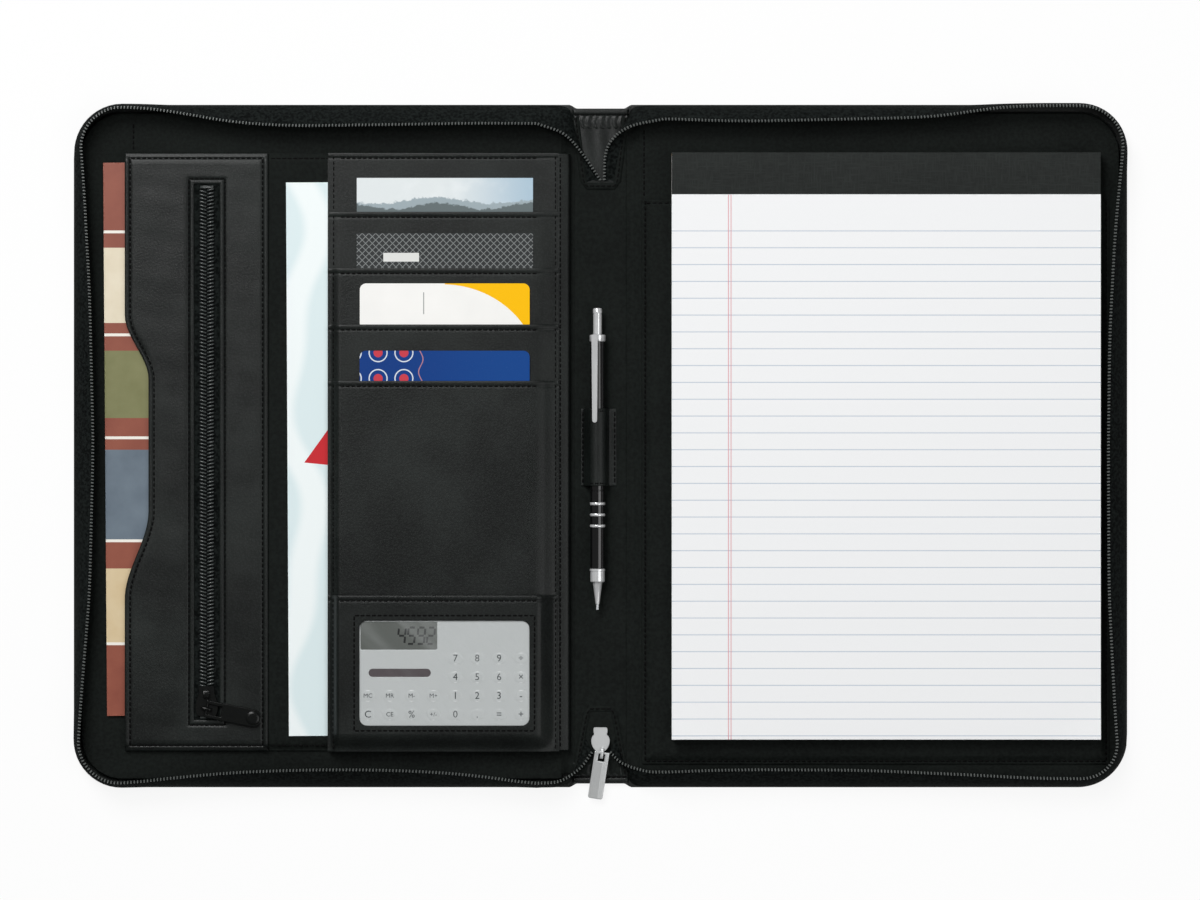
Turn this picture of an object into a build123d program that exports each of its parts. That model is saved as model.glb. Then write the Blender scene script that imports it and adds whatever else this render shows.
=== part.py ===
from build123d import *
import os
from math import cos, radians, sin

# A zippered padfolio lying open on its back, with the pad, pen, cards and papers that its pockets hold.
# Millimetres. X runs across the open book from the left cover to the right one, Y towards the top edge
# of the pages and Z up from the table. The origin is the middle of the spine's outer face.

# Paper that the folder is cut for
PAPER_WIDTH = 215.9
PAPER_LENGTH = 279.4
PAD_STUB = 16.1
PAD_SPINE_GAP = 20.9
PAD_EDGE_GAP = 14.7
PAD_END_GAP = 24.9

# Covers and spine: each is a skin, a padding, a board and a lining
SPINE_WIDTH = 30.0
CORNER_RADIUS = 25.0
SKIN_T = 0.8
FOAM_T = 1.2
BOARD_T = 1.2
LINING_T = 0.4
FOLD_GAP = 0.9
STIFF_SETBACK = 4.5
STIFF_INSET = 4.5
SPINE_SHORTER = 2.5
SPINE_BOARD_T = 1.2
SPINE_BOARD_INSET = 1.5
SPINE_END_INSET = 4.0

# Zipper wall round the edge of each cover; it leans in along the sides and stands up at the corners
TAPE_T = 1.2
TAPE_FOOT_INSET = 0.2
TAPE_LEAN = 10.0
CORNER_LEAN = 1.7
LEAN_RUN = 45.0
CORNER_STEPS = 6
TEETH_WIDTH = 2.0
TEETH_HEIGHT = 1.6
CLOSING_GAP = 0.4
TAPE_END_SETBACK = 5.0
TAPE_END_HEIGHT = 4.0
TEETH_END_SETBACK = 11.5

# Slack between loose sheets, and the width of sewn edges
PLAY = 0.1
SEAM = 2.0

# Writing pad and its pocket on the right cover
HEADER_HEIGHT = 21.0
HEADER_T = 0.3
BACKING_T = 0.9
PAD_POCKET_T = 0.6
PAPER_BLOCK_T = 6.6
SHEET_T = 0.15
SHEET_GAP = 0.3
PAD_POCKET_DROP = 2.4
PAD_POCKET_SPINE_GAP = 6.0
PAD_POCKET_EDGE_GAP = 9.5
PAD_POCKET_END_GAP = 12.0

# Document pocket on the left cover, with its thumb notch
PANEL_EDGE_GAP = 26.4
PANEL_SPINE_GAP = 4.6
PANEL_TOP_GAP = 24.7
PANEL_BOTTOM_GAP = 18.7
PANEL_T = 0.5
NOTCH_DEPTH = 12.0
NOTCH_TOP = 66.0
NOTCH_LENGTH = 143.0
NOTCH_TOP_RAMP = 32.0
NOTCH_LOW_RAMP = 44.0
MAGAZINE_T = 1.2
MAGAZINE_SHOW = 10.1
MAGAZINE_DROP = 4.1
MAGAZINE_TURN = 0.41

# Zip pocket in the leather strip beside the notch
STRIP_WIDTH = 72.4
STRIP_T = 1.4
POUCH_T = 0.3
POUCH_WIDTH = 150.0
POUCH_INSET = 14.0
POUCH_END_INSET = 5.0
ZIP_OFFSET = 41.5
ZIP_SLOT_WIDTH = 12.6
ZIP_END_GAP = 15.9
ZIP_TAPE_WIDTH = 9.0
ZIP_TAPE_T = 0.3
ZIP_TAPE_LIFT = 0.5
ZIP_TAPE_LAP = 3.0
COIL_WIDTH = 2.85
COIL_T = 1.2
COIL_GAP = 1.2
STOP_LENGTH = 1.2

# Brochure between the document pocket and the organizer
BROCHURE_WIDTH = 129.0
BROCHURE_T = 0.3
BROCHURE_GAP = 9.7
BROCHURE_DROP = 14.6
BROCHURE_TURN = 0.3

# Organizer with stepped card pockets and a window pocket
ORGANIZER_WIDTH = 116.6
ORGANIZER_SPINE_GAP = 6.0
ORGANIZER_T = 0.4
INNER_MARGIN = 6.5
OUTER_MARGIN = 8.1
POCKET_SLOPE = 4.0
POCKET_FIRST_DROP = 29.8
POCKET_STEP = 28.45
CARD_1_SHOWS = 17.1
CARD_2_SHOWS = 17.5
CARD_3_SHOWS = 20.7
CARD_4_SHOWS = 15.2
CARD_STAND = 1.0
PAPER_CARD_WIDTH = 88.9
PAPER_CARD_HEIGHT = 50.8
PAPER_CARD_T = 0.4
PLASTIC_CARD_WIDTH = 85.6
PLASTIC_CARD_HEIGHT = 54.0
PLASTIC_CARD_T = 0.76
PLASTIC_CARD_RADIUS = 3.18
WINDOW_PANEL_HEIGHT = 78.8
WINDOW_PANEL_T = 0.5
WINDOW_WIDTH = 85.5
WINDOW_HEIGHT = 52.7
WINDOW_RADIUS = 4.0
WINDOW_BOTTOM_GAP = 13.4
FILM_T = 0.2
FILM_LAP = 3.5

# Flat calculator behind the window
CALC_WIDTH = 92.0
CALC_HEIGHT = 58.0
CALC_RADIUS = 3.0
CALC_WALL = 0.8
CALC_FLOOR = 0.5
CALC_CASE_T = 1.6
CALC_FACE_T = 0.6
CALC_BOARD_T = 0.6
CALC_FIT = 0.1
DISPLAY_WIDTH = 38.6
DISPLAY_HEIGHT = 14.1
DISPLAY_X = -22.9
DISPLAY_Y = 18.8
SOLAR_WIDTH = 31.3
SOLAR_HEIGHT = 4.1
SOLAR_X = -22.5
SOLAR_Y = 0.1
KEY_WIDTH = 7.4
KEY_HEIGHT = 4.6
KEY_RADIUS = 0.8
KEY_RISE = 0.15
KEY_PITCH_X = 11.0
KEY_PITCH_Y = 9.4
KEY_COLUMNS = 8
KEY_ROWS = 4
KEY_TOP_Y = 7.35
DISPLAY_COLUMNS = 4
DISPLAY_ROWS = 2

# Sliders and their pulls
SLIDER_PLATE_T = 0.7
SLIDER_POST_WIDTH = 0.8
SLIDER_ROUND = 1.1
BAIL_LENGTH = 6.0
BAIL_WIDTH = 1.6
BAIL_BAR = 0.9
BAIL_FIT = 0.3
EYE_LENGTH = 4.3
EYE_WIDTH = 3.2
POCKET_SLIDER_LENGTH = 15.2
POCKET_SLIDER_HEAD = 8.1
POCKET_SLIDER_BELLY = 11.7
POCKET_SLIDER_TAIL = 9.4
POCKET_SLIDER_POST = 5.0
POCKET_SLIDER_PARK = 1.8
POCKET_RIDGE_WIDTH = 3.2
POCKET_RIDGE_LENGTH = 4.0
POCKET_RIDGE_HEIGHT = 2.2
POCKET_RIDGE_SETBACK = 2.0
POCKET_PULL_DROP = 3.8
POCKET_PULL_LENGTH = 28.2
POCKET_PULL_WIDTH = 9.0
POCKET_PULL_T = 1.0
POCKET_PULL_ROUND = 4.4
POCKET_PULL_ANGLE = -11.5
POCKET_PULL_DROOP = 1.8
MAIN_SLIDER_LENGTH = 12.4
MAIN_SLIDER_HEAD = 7.2
MAIN_SLIDER_BELLY = 9.4
MAIN_SLIDER_TAIL = 4.6
MAIN_SLIDER_POST = 4.0
MAIN_SLIDER_TOP_GAP = 30.5
MAIN_SLIDER_MOUTH = 1.3
MAIN_PULL_OVERHANG = 0.4
MAIN_PULL_SIDE = 0.8
MAIN_PULL_LENGTH = 24.0
MAIN_PULL_WIDTH = 7.5
MAIN_PULL_T = 1.2
MAIN_PULL_ROUND = 1.2
MAIN_PULL_ANGLE = -98.8
MAIN_PULL_DROOP = 10.0

# Gusset patches and tooth ends on the spine
PATCH_T = 0.5
PATCH_TIP_WIDTH = 17.0
PATCH_ROOT_WIDTH = 26.0
TOP_PATCH_LENGTH = 38.0
BOTTOM_PATCH_LENGTH = 35.0
TAIL_WIDTH = 2.0
TAIL_T = 1.2
TAIL_REACH_X = 11.0
TOP_TAIL_TIP = 4.5
TOP_TAIL_ROOT = 24.0
TOP_TAIL_TIP_X = 1.6
BOTTOM_TAIL_TIP = 21.0
BOTTOM_TAIL_ROOT = 13.5
BOTTOM_TAIL_TIP_X = 6.6

# Push pen and its loop
PEN_X = -1.5
PEN_TOP = 69.7
BUTTON_SHOWS = 13.6
BUTTON_RADIUS = 2.3
BUTTON_ROOT = 6.0
BARREL_LENGTH = 118.0
BARREL_RADIUS = 3.7
BARREL_BORE = 2.5
RING_RADIUS = 3.9
RING_WIDTH = 1.6
RING_PITCH = 5.6
RING_COUNT = 3
RING_LIFT = 21.6
FERRULE_LENGTH = 6.7
CONE_LENGTH = 11.1
CONE_TIP_RADIUS = 1.2
NOSE_BORE = 1.75
NOSE_BORE_DEPTH = 10.0
TIP_BORE = 0.85
REFILL_RADIUS = 1.5
REFILL_TIP_RADIUS = 0.6
REFILL_TIP_LENGTH = 22.6
POINT_SHOWS = 2.8
SPRING_INNER = 0.8
SPRING_OUTER = 1.6
SPRING_LENGTH = 11.5
CLIP_WIDTH = 3.2
CLIP_T = 0.8
CLIP_LENGTH = 44.4
CLIP_BAND_T = 0.35
CLIP_BAND_LENGTH = 3.5
CLIP_ROLL = 15.0
LOOP_LENGTH = 39.0
LOOP_CENTRE = -0.6
LOOP_T = 0.75
LOOP_FIT = 0.15
LOOP_TAB_T = 0.6
LOOP_TAB_LEFT = 5.3
LOOP_TAB_RIGHT = 9.7
LOOP_SINK = 0.3

# Places worked out from the sizes above
crease = SPINE_WIDTH / 2
pad_length = PAPER_LENGTH + PAD_STUB
half_length = pad_length / 2 + PAD_END_GAP
half_width = crease + PAD_SPINE_GAP + PAPER_WIDTH + PAD_EDGE_GAP
hinge_z = SKIN_T / 2
cover_top = SKIN_T + FOAM_T + BOARD_T + LINING_T
spine_top = SKIN_T + SPINE_BOARD_T + LINING_T
teeth_top = hinge_z + SPINE_WIDTH / 2 - CLOSING_GAP / 2
tape_top = teeth_top - TEETH_HEIGHT

pad_left = crease + PAD_SPINE_GAP
pad_right = pad_left + PAPER_WIDTH
pad_top = pad_length / 2
header_edge = pad_top - HEADER_HEIGHT
backing_z = cover_top + PLAY + HEADER_T
pad_pocket_z = backing_z + BACKING_T + PLAY
block_z = pad_pocket_z + PAD_POCKET_T + PLAY
block_top = block_z + PAPER_BLOCK_T
pocket_edge = header_edge - PAD_POCKET_DROP

panel_left = -half_width + PANEL_EDGE_GAP
panel_right = -crease - PANEL_SPINE_GAP
panel_top = half_length - PANEL_TOP_GAP
panel_bottom = -half_length + PANEL_BOTTOM_GAP
magazine_z = cover_top + PLAY
pouch_z = magazine_z + MAGAZINE_T + PLAY
panel_z = pouch_z + POUCH_T + PLAY
strip_z = panel_z + PANEL_T
strip_right = panel_left + STRIP_WIDTH
zip_x = panel_left + ZIP_OFFSET
zip_top = panel_top - ZIP_END_GAP
zip_bottom = panel_bottom + ZIP_END_GAP
zip_tape_z = strip_z + ZIP_TAPE_LIFT
coil_z = zip_tape_z + ZIP_TAPE_T

brochure_z = strip_z + PLAY
organizer_z = brochure_z + BROCHURE_T + PLAY
organizer_top_z = organizer_z + ORGANIZER_T
organizer_right = -crease - ORGANIZER_SPINE_GAP
organizer_left = organizer_right - ORGANIZER_WIDTH
flat_left = organizer_left + OUTER_MARGIN + POCKET_SLOPE
flat_right = organizer_right - INNER_MARGIN - POCKET_SLOPE
card_x = (flat_left + flat_right) / 2
card_shows = (CARD_1_SHOWS, CARD_2_SHOWS, CARD_3_SHOWS, CARD_4_SHOWS)
paper_card = (PAPER_CARD_WIDTH, PAPER_CARD_HEIGHT, PAPER_CARD_T)
plastic_card = (PLASTIC_CARD_WIDTH, PLASTIC_CARD_HEIGHT, PLASTIC_CARD_T)
window_bottom = panel_bottom + WINDOW_BOTTOM_GAP
window_y = window_bottom + WINDOW_HEIGHT / 2
display_size = (DISPLAY_WIDTH, DISPLAY_HEIGHT)
display_centre = (DISPLAY_X, DISPLAY_Y)
solar_size = (SOLAR_WIDTH, SOLAR_HEIGHT)
solar_centre = (SOLAR_X, SOLAR_Y)
key_size = (KEY_WIDTH, KEY_HEIGHT)

main_slider_y = -half_length + MAIN_SLIDER_TOP_GAP - MAIN_SLIDER_LENGTH / 2
main_pivot_y = main_slider_y - MAIN_SLIDER_LENGTH / 2 - MAIN_PULL_OVERHANG
main_plate_z = spine_top + PATCH_T + PLAY
pocket_slider_y = zip_bottom + POCKET_SLIDER_PARK + POCKET_SLIDER_LENGTH / 2

barrel_top = PEN_TOP - BUTTON_SHOWS
barrel_bottom = barrel_top - BARREL_LENGTH
cone_top = barrel_bottom - FERRULE_LENGTH
cone_bottom = cone_top - CONE_LENGTH
loop_bore = RING_RADIUS + LOOP_FIT
loop_radius = loop_bore + LOOP_T
pen_z = spine_top + LOOP_TAB_T + loop_radius - LOOP_SINK


def slab(x0, x1, y0, y1, z0, z1):
    """Block between two opposite corners."""
    middle = Pos((x0 + x1) / 2, (y0 + y1) / 2, (z0 + z1) / 2)
    return middle * Box(x1 - x0, y1 - y0, z1 - z0)


def rounded_slab(x0, x1, y0, y1, z0, z1, radius):
    """Block with its four upright edges rounded."""
    block = slab(x0, x1, y0, y1, z0, z1)
    return fillet(block.edges().filter_by(Axis.Z), radius)


def sheet(x, y, z, size, turn=0.0):
    """Flat sheet of size (width, length, thickness), centred on x and y, turned in its own plane."""
    width, length, thickness = size
    return Pos(x, y, z + thickness / 2) * Rot(0, 0, turn) * Box(width, length, thickness)


def prism_along_y(points, y0, y1):
    """Solid of one outline of (x, z) points, carried from y0 to y1."""
    outline = make_face(Polyline(*points, close=True))
    upright = Plane(origin=(0, y1, 0), x_dir=(1, 0, 0), z_dir=(0, -1, 0))
    return extrude(upright * outline, amount=y1 - y0)


def other_side(solid):
    """The same piece on the left cover."""
    return mirror(solid, about=Plane.YZ)


def cover_layer(inset, setback, z0, thickness):
    """One layer of the right cover: straight at the crease, rounded at its two outer corners."""
    reach = half_length - inset
    block = slab(crease + setback, half_width - inset, -reach, reach, z0, z0 + thickness)
    outer_corners = block.edges().filter_by(Axis.Z).group_by(Axis.X)[-1]
    return fillet(outer_corners, CORNER_RADIUS - inset)


def cover_layers():
    """Skin, padding, board and lining of the right cover."""
    skin = cover_layer(0, FOLD_GAP / 2, 0, SKIN_T)
    foam = cover_layer(STIFF_INSET, STIFF_SETBACK, SKIN_T, FOAM_T)
    board = cover_layer(STIFF_INSET, STIFF_SETBACK, SKIN_T + FOAM_T, BOARD_T)
    lining = cover_layer(STIFF_INSET, STIFF_SETBACK, cover_top - LINING_T, LINING_T)
    return {"cover_skin": skin, "cover_foam": foam, "cover_board": board, "lining": lining}


def edge_outline(side_inset, corner_inset, z):
    """Outline of the open book, drawn in by one inset along its sides and another at its corners."""
    centre_x = half_width - CORNER_RADIUS
    centre_y = half_length - CORNER_RADIUS
    radius = CORNER_RADIUS - corner_inset
    turns = [radians(90 * step / CORNER_STEPS) for step in range(CORNER_STEPS + 1)]
    quarter = [(half_width - side_inset, centre_y - LEAN_RUN)]
    quarter += [(centre_x + radius * cos(turn), centre_y + radius * sin(turn)) for turn in turns]
    quarter += [(centre_x - LEAN_RUN, half_length - side_inset)]
    back = quarter[::-1]
    points = quarter + [(-x, y) for x, y in back]
    points += [(-x, -y) for x, y in quarter] + [(x, -y) for x, y in back]
    return Pos(0, 0, z) * make_face(Polyline(*points, close=True))


def edge_cone(grow, z0, z1):
    """Leaning block whose side is one face of the zipper wall, moved in by grow."""
    foot = TAPE_FOOT_INSET + grow
    low = edge_outline(foot, foot, z0)
    high = edge_outline(TAPE_LEAN + grow, CORNER_LEAN + grow, z1)
    return loft([low, high], ruled=True)


def beside_crease():
    """Room over the right cover that the zipper wall may fill: its end slopes down to the crease."""
    foot = crease + TAPE_END_SETBACK
    head = crease + TEETH_END_SETBACK
    roof = teeth_top + TEETH_HEIGHT
    points = [(foot, 0), (half_width, 0), (half_width, roof), (head, roof)]
    points += [(head, tape_top), (foot, TAPE_END_HEIGHT)]
    return prism_along_y(points, -half_length, half_length)


def zipper_tape():
    """Tape wall of the right cover, from the skin up to the teeth."""
    wall = edge_cone(0, SKIN_T, tape_top) - edge_cone(TAPE_T, SKIN_T, tape_top)
    return wall & beside_crease()


def zipper_teeth():
    """Row of teeth along the top of the right tape."""
    near = TAPE_T / 2 - TEETH_WIDTH / 2
    far = TAPE_T / 2 + TEETH_WIDTH / 2
    outer = edge_outline(TAPE_LEAN + near, CORNER_LEAN + near, tape_top)
    inner = edge_outline(TAPE_LEAN + far, CORNER_LEAN + far, tape_top)
    return extrude(outer - inner, amount=TEETH_HEIGHT) & beside_crease()


def pad_pocket_panel():
    """Pocket for the pad's backing board, open at its top edge and sewn on the other three."""
    x0 = crease + PAD_POCKET_SPINE_GAP
    x1 = half_width - PAD_POCKET_EDGE_GAP
    y0 = -half_length + PAD_POCKET_END_GAP
    panel = slab(x0, x1, y0, pocket_edge, pad_pocket_z, pad_pocket_z + PAD_POCKET_T)
    near = slab(x0, x0 + SEAM, y0, pocket_edge, cover_top, pad_pocket_z)
    far = slab(x1 - SEAM, x1, y0, pocket_edge, cover_top, pad_pocket_z)
    foot = slab(x0, x1, y0, y0 + SEAM, cover_top, pad_pocket_z)
    return panel + near + far + foot


def writing_pad():
    """Backing board in the pocket, paper block in front of it, header strip and loose top sheet."""
    backing = slab(pad_left, pad_right, -pad_top, pad_top, backing_z, backing_z + BACKING_T)
    block = slab(pad_left, pad_right, -pad_top, pad_top, block_z, block_top)
    block += slab(pad_left, pad_right, header_edge, pad_top, backing_z + BACKING_T, block_z)
    z0 = backing_z - HEADER_T
    z1 = block_top + HEADER_T
    header = slab(pad_left, pad_right, header_edge, pad_top + HEADER_T, z0, z1)
    header -= slab(pad_left, pad_right, header_edge, pad_top, backing_z, block_top)
    sheet_z = block_top + PLAY
    top_sheet = slab(pad_left, pad_right, -pad_top, header_edge - SHEET_GAP, sheet_z, sheet_z + SHEET_T)
    return {
        "pad_backing_board": backing,
        "pad_paper_block": block,
        "pad_header_strip": header,
        "pad_top_sheet": top_sheet,
    }


def spine_layers():
    """Skin, board and lining of the spine."""
    reach = half_length - SPINE_SHORTER
    side = crease - FOLD_GAP / 2
    board_side = crease - SPINE_BOARD_INSET
    inner_reach = reach - SPINE_END_INSET
    board_top = SKIN_T + SPINE_BOARD_T
    return {
        "spine_skin": slab(-side, side, -reach, reach, 0, SKIN_T),
        "spine_board": slab(-board_side, board_side, -inner_reach, inner_reach, SKIN_T, board_top),
        "spine_lining": slab(-board_side, board_side, -inner_reach, inner_reach, board_top, spine_top),
    }


def gusset_patch(end, length):
    """Leather patch that narrows from one end of the spine towards its middle; end is +1 or -1."""
    root = end * (half_length - SPINE_SHORTER - SPINE_END_INSET)
    tip = root - end * length
    points = [(-PATCH_ROOT_WIDTH / 2, root), (PATCH_ROOT_WIDTH / 2, root)]
    points += [(PATCH_TIP_WIDTH / 2, tip), (-PATCH_TIP_WIDTH / 2, tip)]
    outline = Pos(0, 0, spine_top) * make_face(Polyline(*points, close=True))
    return extrude(outline, amount=PATCH_T, dir=(0, 0, 1))


def tooth_tail(tip, root):
    """Straight end of a tooth row, lying on a gusset patch between two (x, y) points."""
    tip_x, tip_y = tip
    root_x, root_y = root
    run = Line((tip_x, tip_y), (root_x, root_y))
    band = Pos((tip_x + root_x) / 2, (tip_y + root_y) / 2, spine_top + PATCH_T + TAIL_T / 2)
    turn = run.tangent_angle_at(0)
    return band * Rot(0, 0, turn) * Box(run.length, TAIL_WIDTH, TAIL_T)


def spine_zipper_teeth():
    """The four ends of the tooth rows, which run in from the covers and meet in a V at each end."""
    top_tip = half_length - SPINE_SHORTER - SPINE_END_INSET - TOP_PATCH_LENGTH + TOP_TAIL_TIP
    top_root = top_tip + TOP_TAIL_ROOT
    low_tip = -half_length + BOTTOM_TAIL_TIP
    low_root = -half_length + BOTTOM_TAIL_ROOT
    tails = []
    for side in (-1, 1):
        tails.append(tooth_tail((side * TOP_TAIL_TIP_X, top_tip), (side * TAIL_REACH_X, top_root)))
        tails.append(tooth_tail((side * BOTTOM_TAIL_TIP_X, low_tip), (side * TAIL_REACH_X, low_root)))
    return Compound(children=tails)


def notched_outline(right):
    """Outline of a pocket panel whose left edge has a thumb notch with two easy ramps."""
    deep = panel_left + NOTCH_DEPTH
    top_start = (panel_left, NOTCH_TOP)
    top_end = (deep, NOTCH_TOP - NOTCH_TOP_RAMP)
    low_end = (panel_left, NOTCH_TOP - NOTCH_LENGTH)
    low_start = (deep, NOTCH_TOP - NOTCH_LENGTH + NOTCH_LOW_RAMP)
    top_middle = NOTCH_TOP - NOTCH_TOP_RAMP / 2
    low_middle = NOTCH_TOP - NOTCH_LENGTH + NOTCH_LOW_RAMP / 2
    border = Polyline(low_end, (panel_left, panel_bottom), (right, panel_bottom), (right, panel_top),
                      (panel_left, panel_top), top_start)
    top_ramp = Bezier(top_start, (panel_left, top_middle), (deep, top_middle), top_end)
    grip = Line(top_end, low_start)
    low_ramp = Bezier(low_start, (deep, low_middle), (panel_left, low_middle), low_end)
    return make_face([border, top_ramp, grip, low_ramp])


def zip_slot(z0, z1):
    """Slot that shows the zip."""
    half = ZIP_SLOT_WIDTH / 2
    return slab(zip_x - half, zip_x + half, zip_bottom, zip_top, z0, z1)


def document_pocket_panel():
    """Full-width panel over the document pocket, open on its left, slotted for the zip."""
    panel = extrude(Pos(0, 0, panel_z) * notched_outline(panel_right), amount=PANEL_T)
    head = slab(panel_left, panel_right, panel_top - SEAM, panel_top, cover_top, panel_z)
    foot = slab(panel_left, panel_right, panel_bottom, panel_bottom + SEAM, cover_top, panel_z)
    side = slab(panel_right - SEAM, panel_right, panel_bottom, panel_top, cover_top, panel_z)
    return panel - zip_slot(panel_z, strip_z) + head + foot + side


def zip_pocket():
    """Leather strip, zip tapes and coils, and the lining sheet that closes the pocket behind."""
    recess = ZIP_TAPE_WIDTH + COIL_GAP / 2 + PLAY
    recess_bottom = zip_bottom - ZIP_TAPE_LAP - PLAY
    recess_top = zip_top + ZIP_TAPE_LAP + PLAY
    strip = extrude(Pos(0, 0, strip_z) * notched_outline(strip_right), amount=STRIP_T)
    strip -= slab(zip_x - recess, zip_x + recess, recess_bottom, recess_top, strip_z, coil_z)
    strip -= zip_slot(strip_z, strip_z + STRIP_T)
    inner = COIL_GAP / 2
    tapes = []
    coils = []
    for side in (-1, 1):
        near = zip_x + side * inner
        edge = zip_x + side * (inner + ZIP_TAPE_WIDTH)
        crown = zip_x + side * (inner + COIL_WIDTH)
        tapes.append(slab(min(near, edge), max(near, edge), zip_bottom - ZIP_TAPE_LAP,
                          zip_top + ZIP_TAPE_LAP, zip_tape_z, coil_z))
        coils.append(slab(min(near, crown), max(near, crown), zip_bottom + STOP_LENGTH,
                          zip_top - STOP_LENGTH, coil_z, coil_z + COIL_T))
    stop_half = inner + COIL_WIDTH
    for low in (zip_bottom, zip_top - STOP_LENGTH):
        coils.append(slab(zip_x - stop_half, zip_x + stop_half, low, low + STOP_LENGTH,
                          coil_z, coil_z + COIL_T))
    pouch_left = panel_left + POUCH_INSET
    pouch = slab(pouch_left, pouch_left + POUCH_WIDTH, panel_bottom + POUCH_END_INSET,
                 panel_top - POUCH_END_INSET, pouch_z, pouch_z + POUCH_T)
    return {
        "zip_pocket_strip": strip,
        "zip_pocket_tape": Compound(children=tapes),
        "zip_pocket_teeth": Compound(children=coils),
        "zip_pocket_lining": pouch,
    }


def organizer_backing():
    """Backing of the organizer, sewn to the panel behind on three sides and open on its left."""
    x0, x1 = organizer_left, organizer_right
    y0, y1 = panel_bottom, panel_top
    plate = slab(x0, x1, y0, y1, organizer_z, organizer_top_z)
    side = slab(x1 - SEAM, x1, y0, y1, strip_z, organizer_z)
    head = slab(x0, x1, y1 - SEAM, y1, strip_z, organizer_z)
    foot = slab(x0, x1, y0, y0 + SEAM, strip_z, organizer_z)
    return plate + side + head + foot


def draped_panel(flat_z, margin_z, thickness, y0, y1):
    """Pocket panel lying over what it holds and sloping down to a sewn margin on each side."""
    outer = organizer_left + OUTER_MARGIN
    inner = organizer_right - INNER_MARGIN
    below = [(organizer_left, margin_z), (outer, margin_z), (flat_left, flat_z), (flat_right, flat_z),
             (inner, margin_z), (organizer_right, margin_z)]
    above = [(x, z + thickness) for x, z in reversed(below)]
    return prism_along_y(below + above, y0, y1)


def sewn_margins(z0, z1, y0, y1):
    """Folded edges that fill the space under a panel's two margins."""
    outer = slab(organizer_left, organizer_left + OUTER_MARGIN, y0, y1, z0, z1)
    inner = slab(organizer_right - INNER_MARGIN, organizer_right, y0, y1, z0, z1)
    return outer + inner


def loose_card(size, radius, y_top, z):
    """One card, centred in the organizer, with its top edge at y_top."""
    width, height, thickness = size
    corners = (card_x - width / 2, card_x + width / 2, y_top - height, y_top, z, z + thickness)
    if radius:
        return rounded_slab(*corners, radius)
    return slab(*corners)


def card_pockets():
    """Four stepped pockets with a card in each; returns the nodes and the height of the last pocket."""
    nodes = {}
    z = organizer_top_z
    margin_z = organizer_top_z
    end_above = panel_top
    for index, shows in enumerate(card_shows):
        number = index + 1
        last = number == len(card_shows)
        size, radius = (paper_card, 0) if index < 2 else (plastic_card, PLASTIC_CARD_RADIUS)
        edge = panel_top - POCKET_FIRST_DROP - index * POCKET_STEP
        card_top = edge + shows
        card_z = z + PLAY
        pocket_z = card_z + size[2] + PLAY
        end = panel_bottom if last else card_top - size[1] - CARD_STAND - SEAM
        pocket = draped_panel(pocket_z, margin_z, ORGANIZER_T, end, edge)
        pocket += slab(flat_left, flat_right, end, end + SEAM, organizer_top_z, pocket_z)
        if index:
            pocket += sewn_margins(organizer_top_z, margin_z, end, end_above)
        nodes["card_%d" % number] = loose_card(size, radius, card_top, card_z)
        nodes["card_pocket_%d" % number] = pocket
        z = pocket_z + ORGANIZER_T
        margin_z += ORGANIZER_T
        end_above = end
    return nodes, z, margin_z


def window_pocket(back_z, margin_z):
    """Window panel with its clear film, in front of the lowest card pocket."""
    film_z = back_z + PLAY + CALC_CASE_T + CALC_FACE_T + KEY_RISE + PLAY
    panel_low = film_z + FILM_T
    top = panel_bottom + WINDOW_PANEL_HEIGHT
    panel = draped_panel(panel_low, margin_z, WINDOW_PANEL_T, panel_bottom, top)
    panel += slab(flat_left, flat_right, panel_bottom, panel_bottom + SEAM, back_z, panel_low)
    half = WINDOW_WIDTH / 2
    high = window_bottom + WINDOW_HEIGHT
    panel -= rounded_slab(card_x - half, card_x + half, window_bottom, high,
                          panel_low - PLAY, panel_low + WINDOW_PANEL_T + PLAY, WINDOW_RADIUS)
    lap = half + FILM_LAP
    film = slab(card_x - lap, card_x + lap, window_bottom - FILM_LAP, high + FILM_LAP, film_z, panel_low)
    return {"window_pocket_panel": panel, "window_film": film}


def on_calculator(size, centre, z0, z1, grow=0.0):
    """Block of the given size at a place on the calculator's face, grown on every side."""
    half_x = size[0] / 2 + grow
    half_y = size[1] / 2 + grow
    x = card_x + centre[0]
    y = window_y + centre[1]
    return slab(x - half_x, x + half_x, y - half_y, y + half_y, z0, z1)


def key_places():
    """Centres of the keys: full rows on the right, and only the lower rows under the display."""
    first = -KEY_PITCH_X * (KEY_COLUMNS - 1) / 2
    places = []
    for row in range(KEY_ROWS):
        for column in range(KEY_COLUMNS):
            if column >= DISPLAY_COLUMNS or row >= DISPLAY_ROWS:
                places.append((first + column * KEY_PITCH_X, KEY_TOP_Y - row * KEY_PITCH_Y))
    return places


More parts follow.
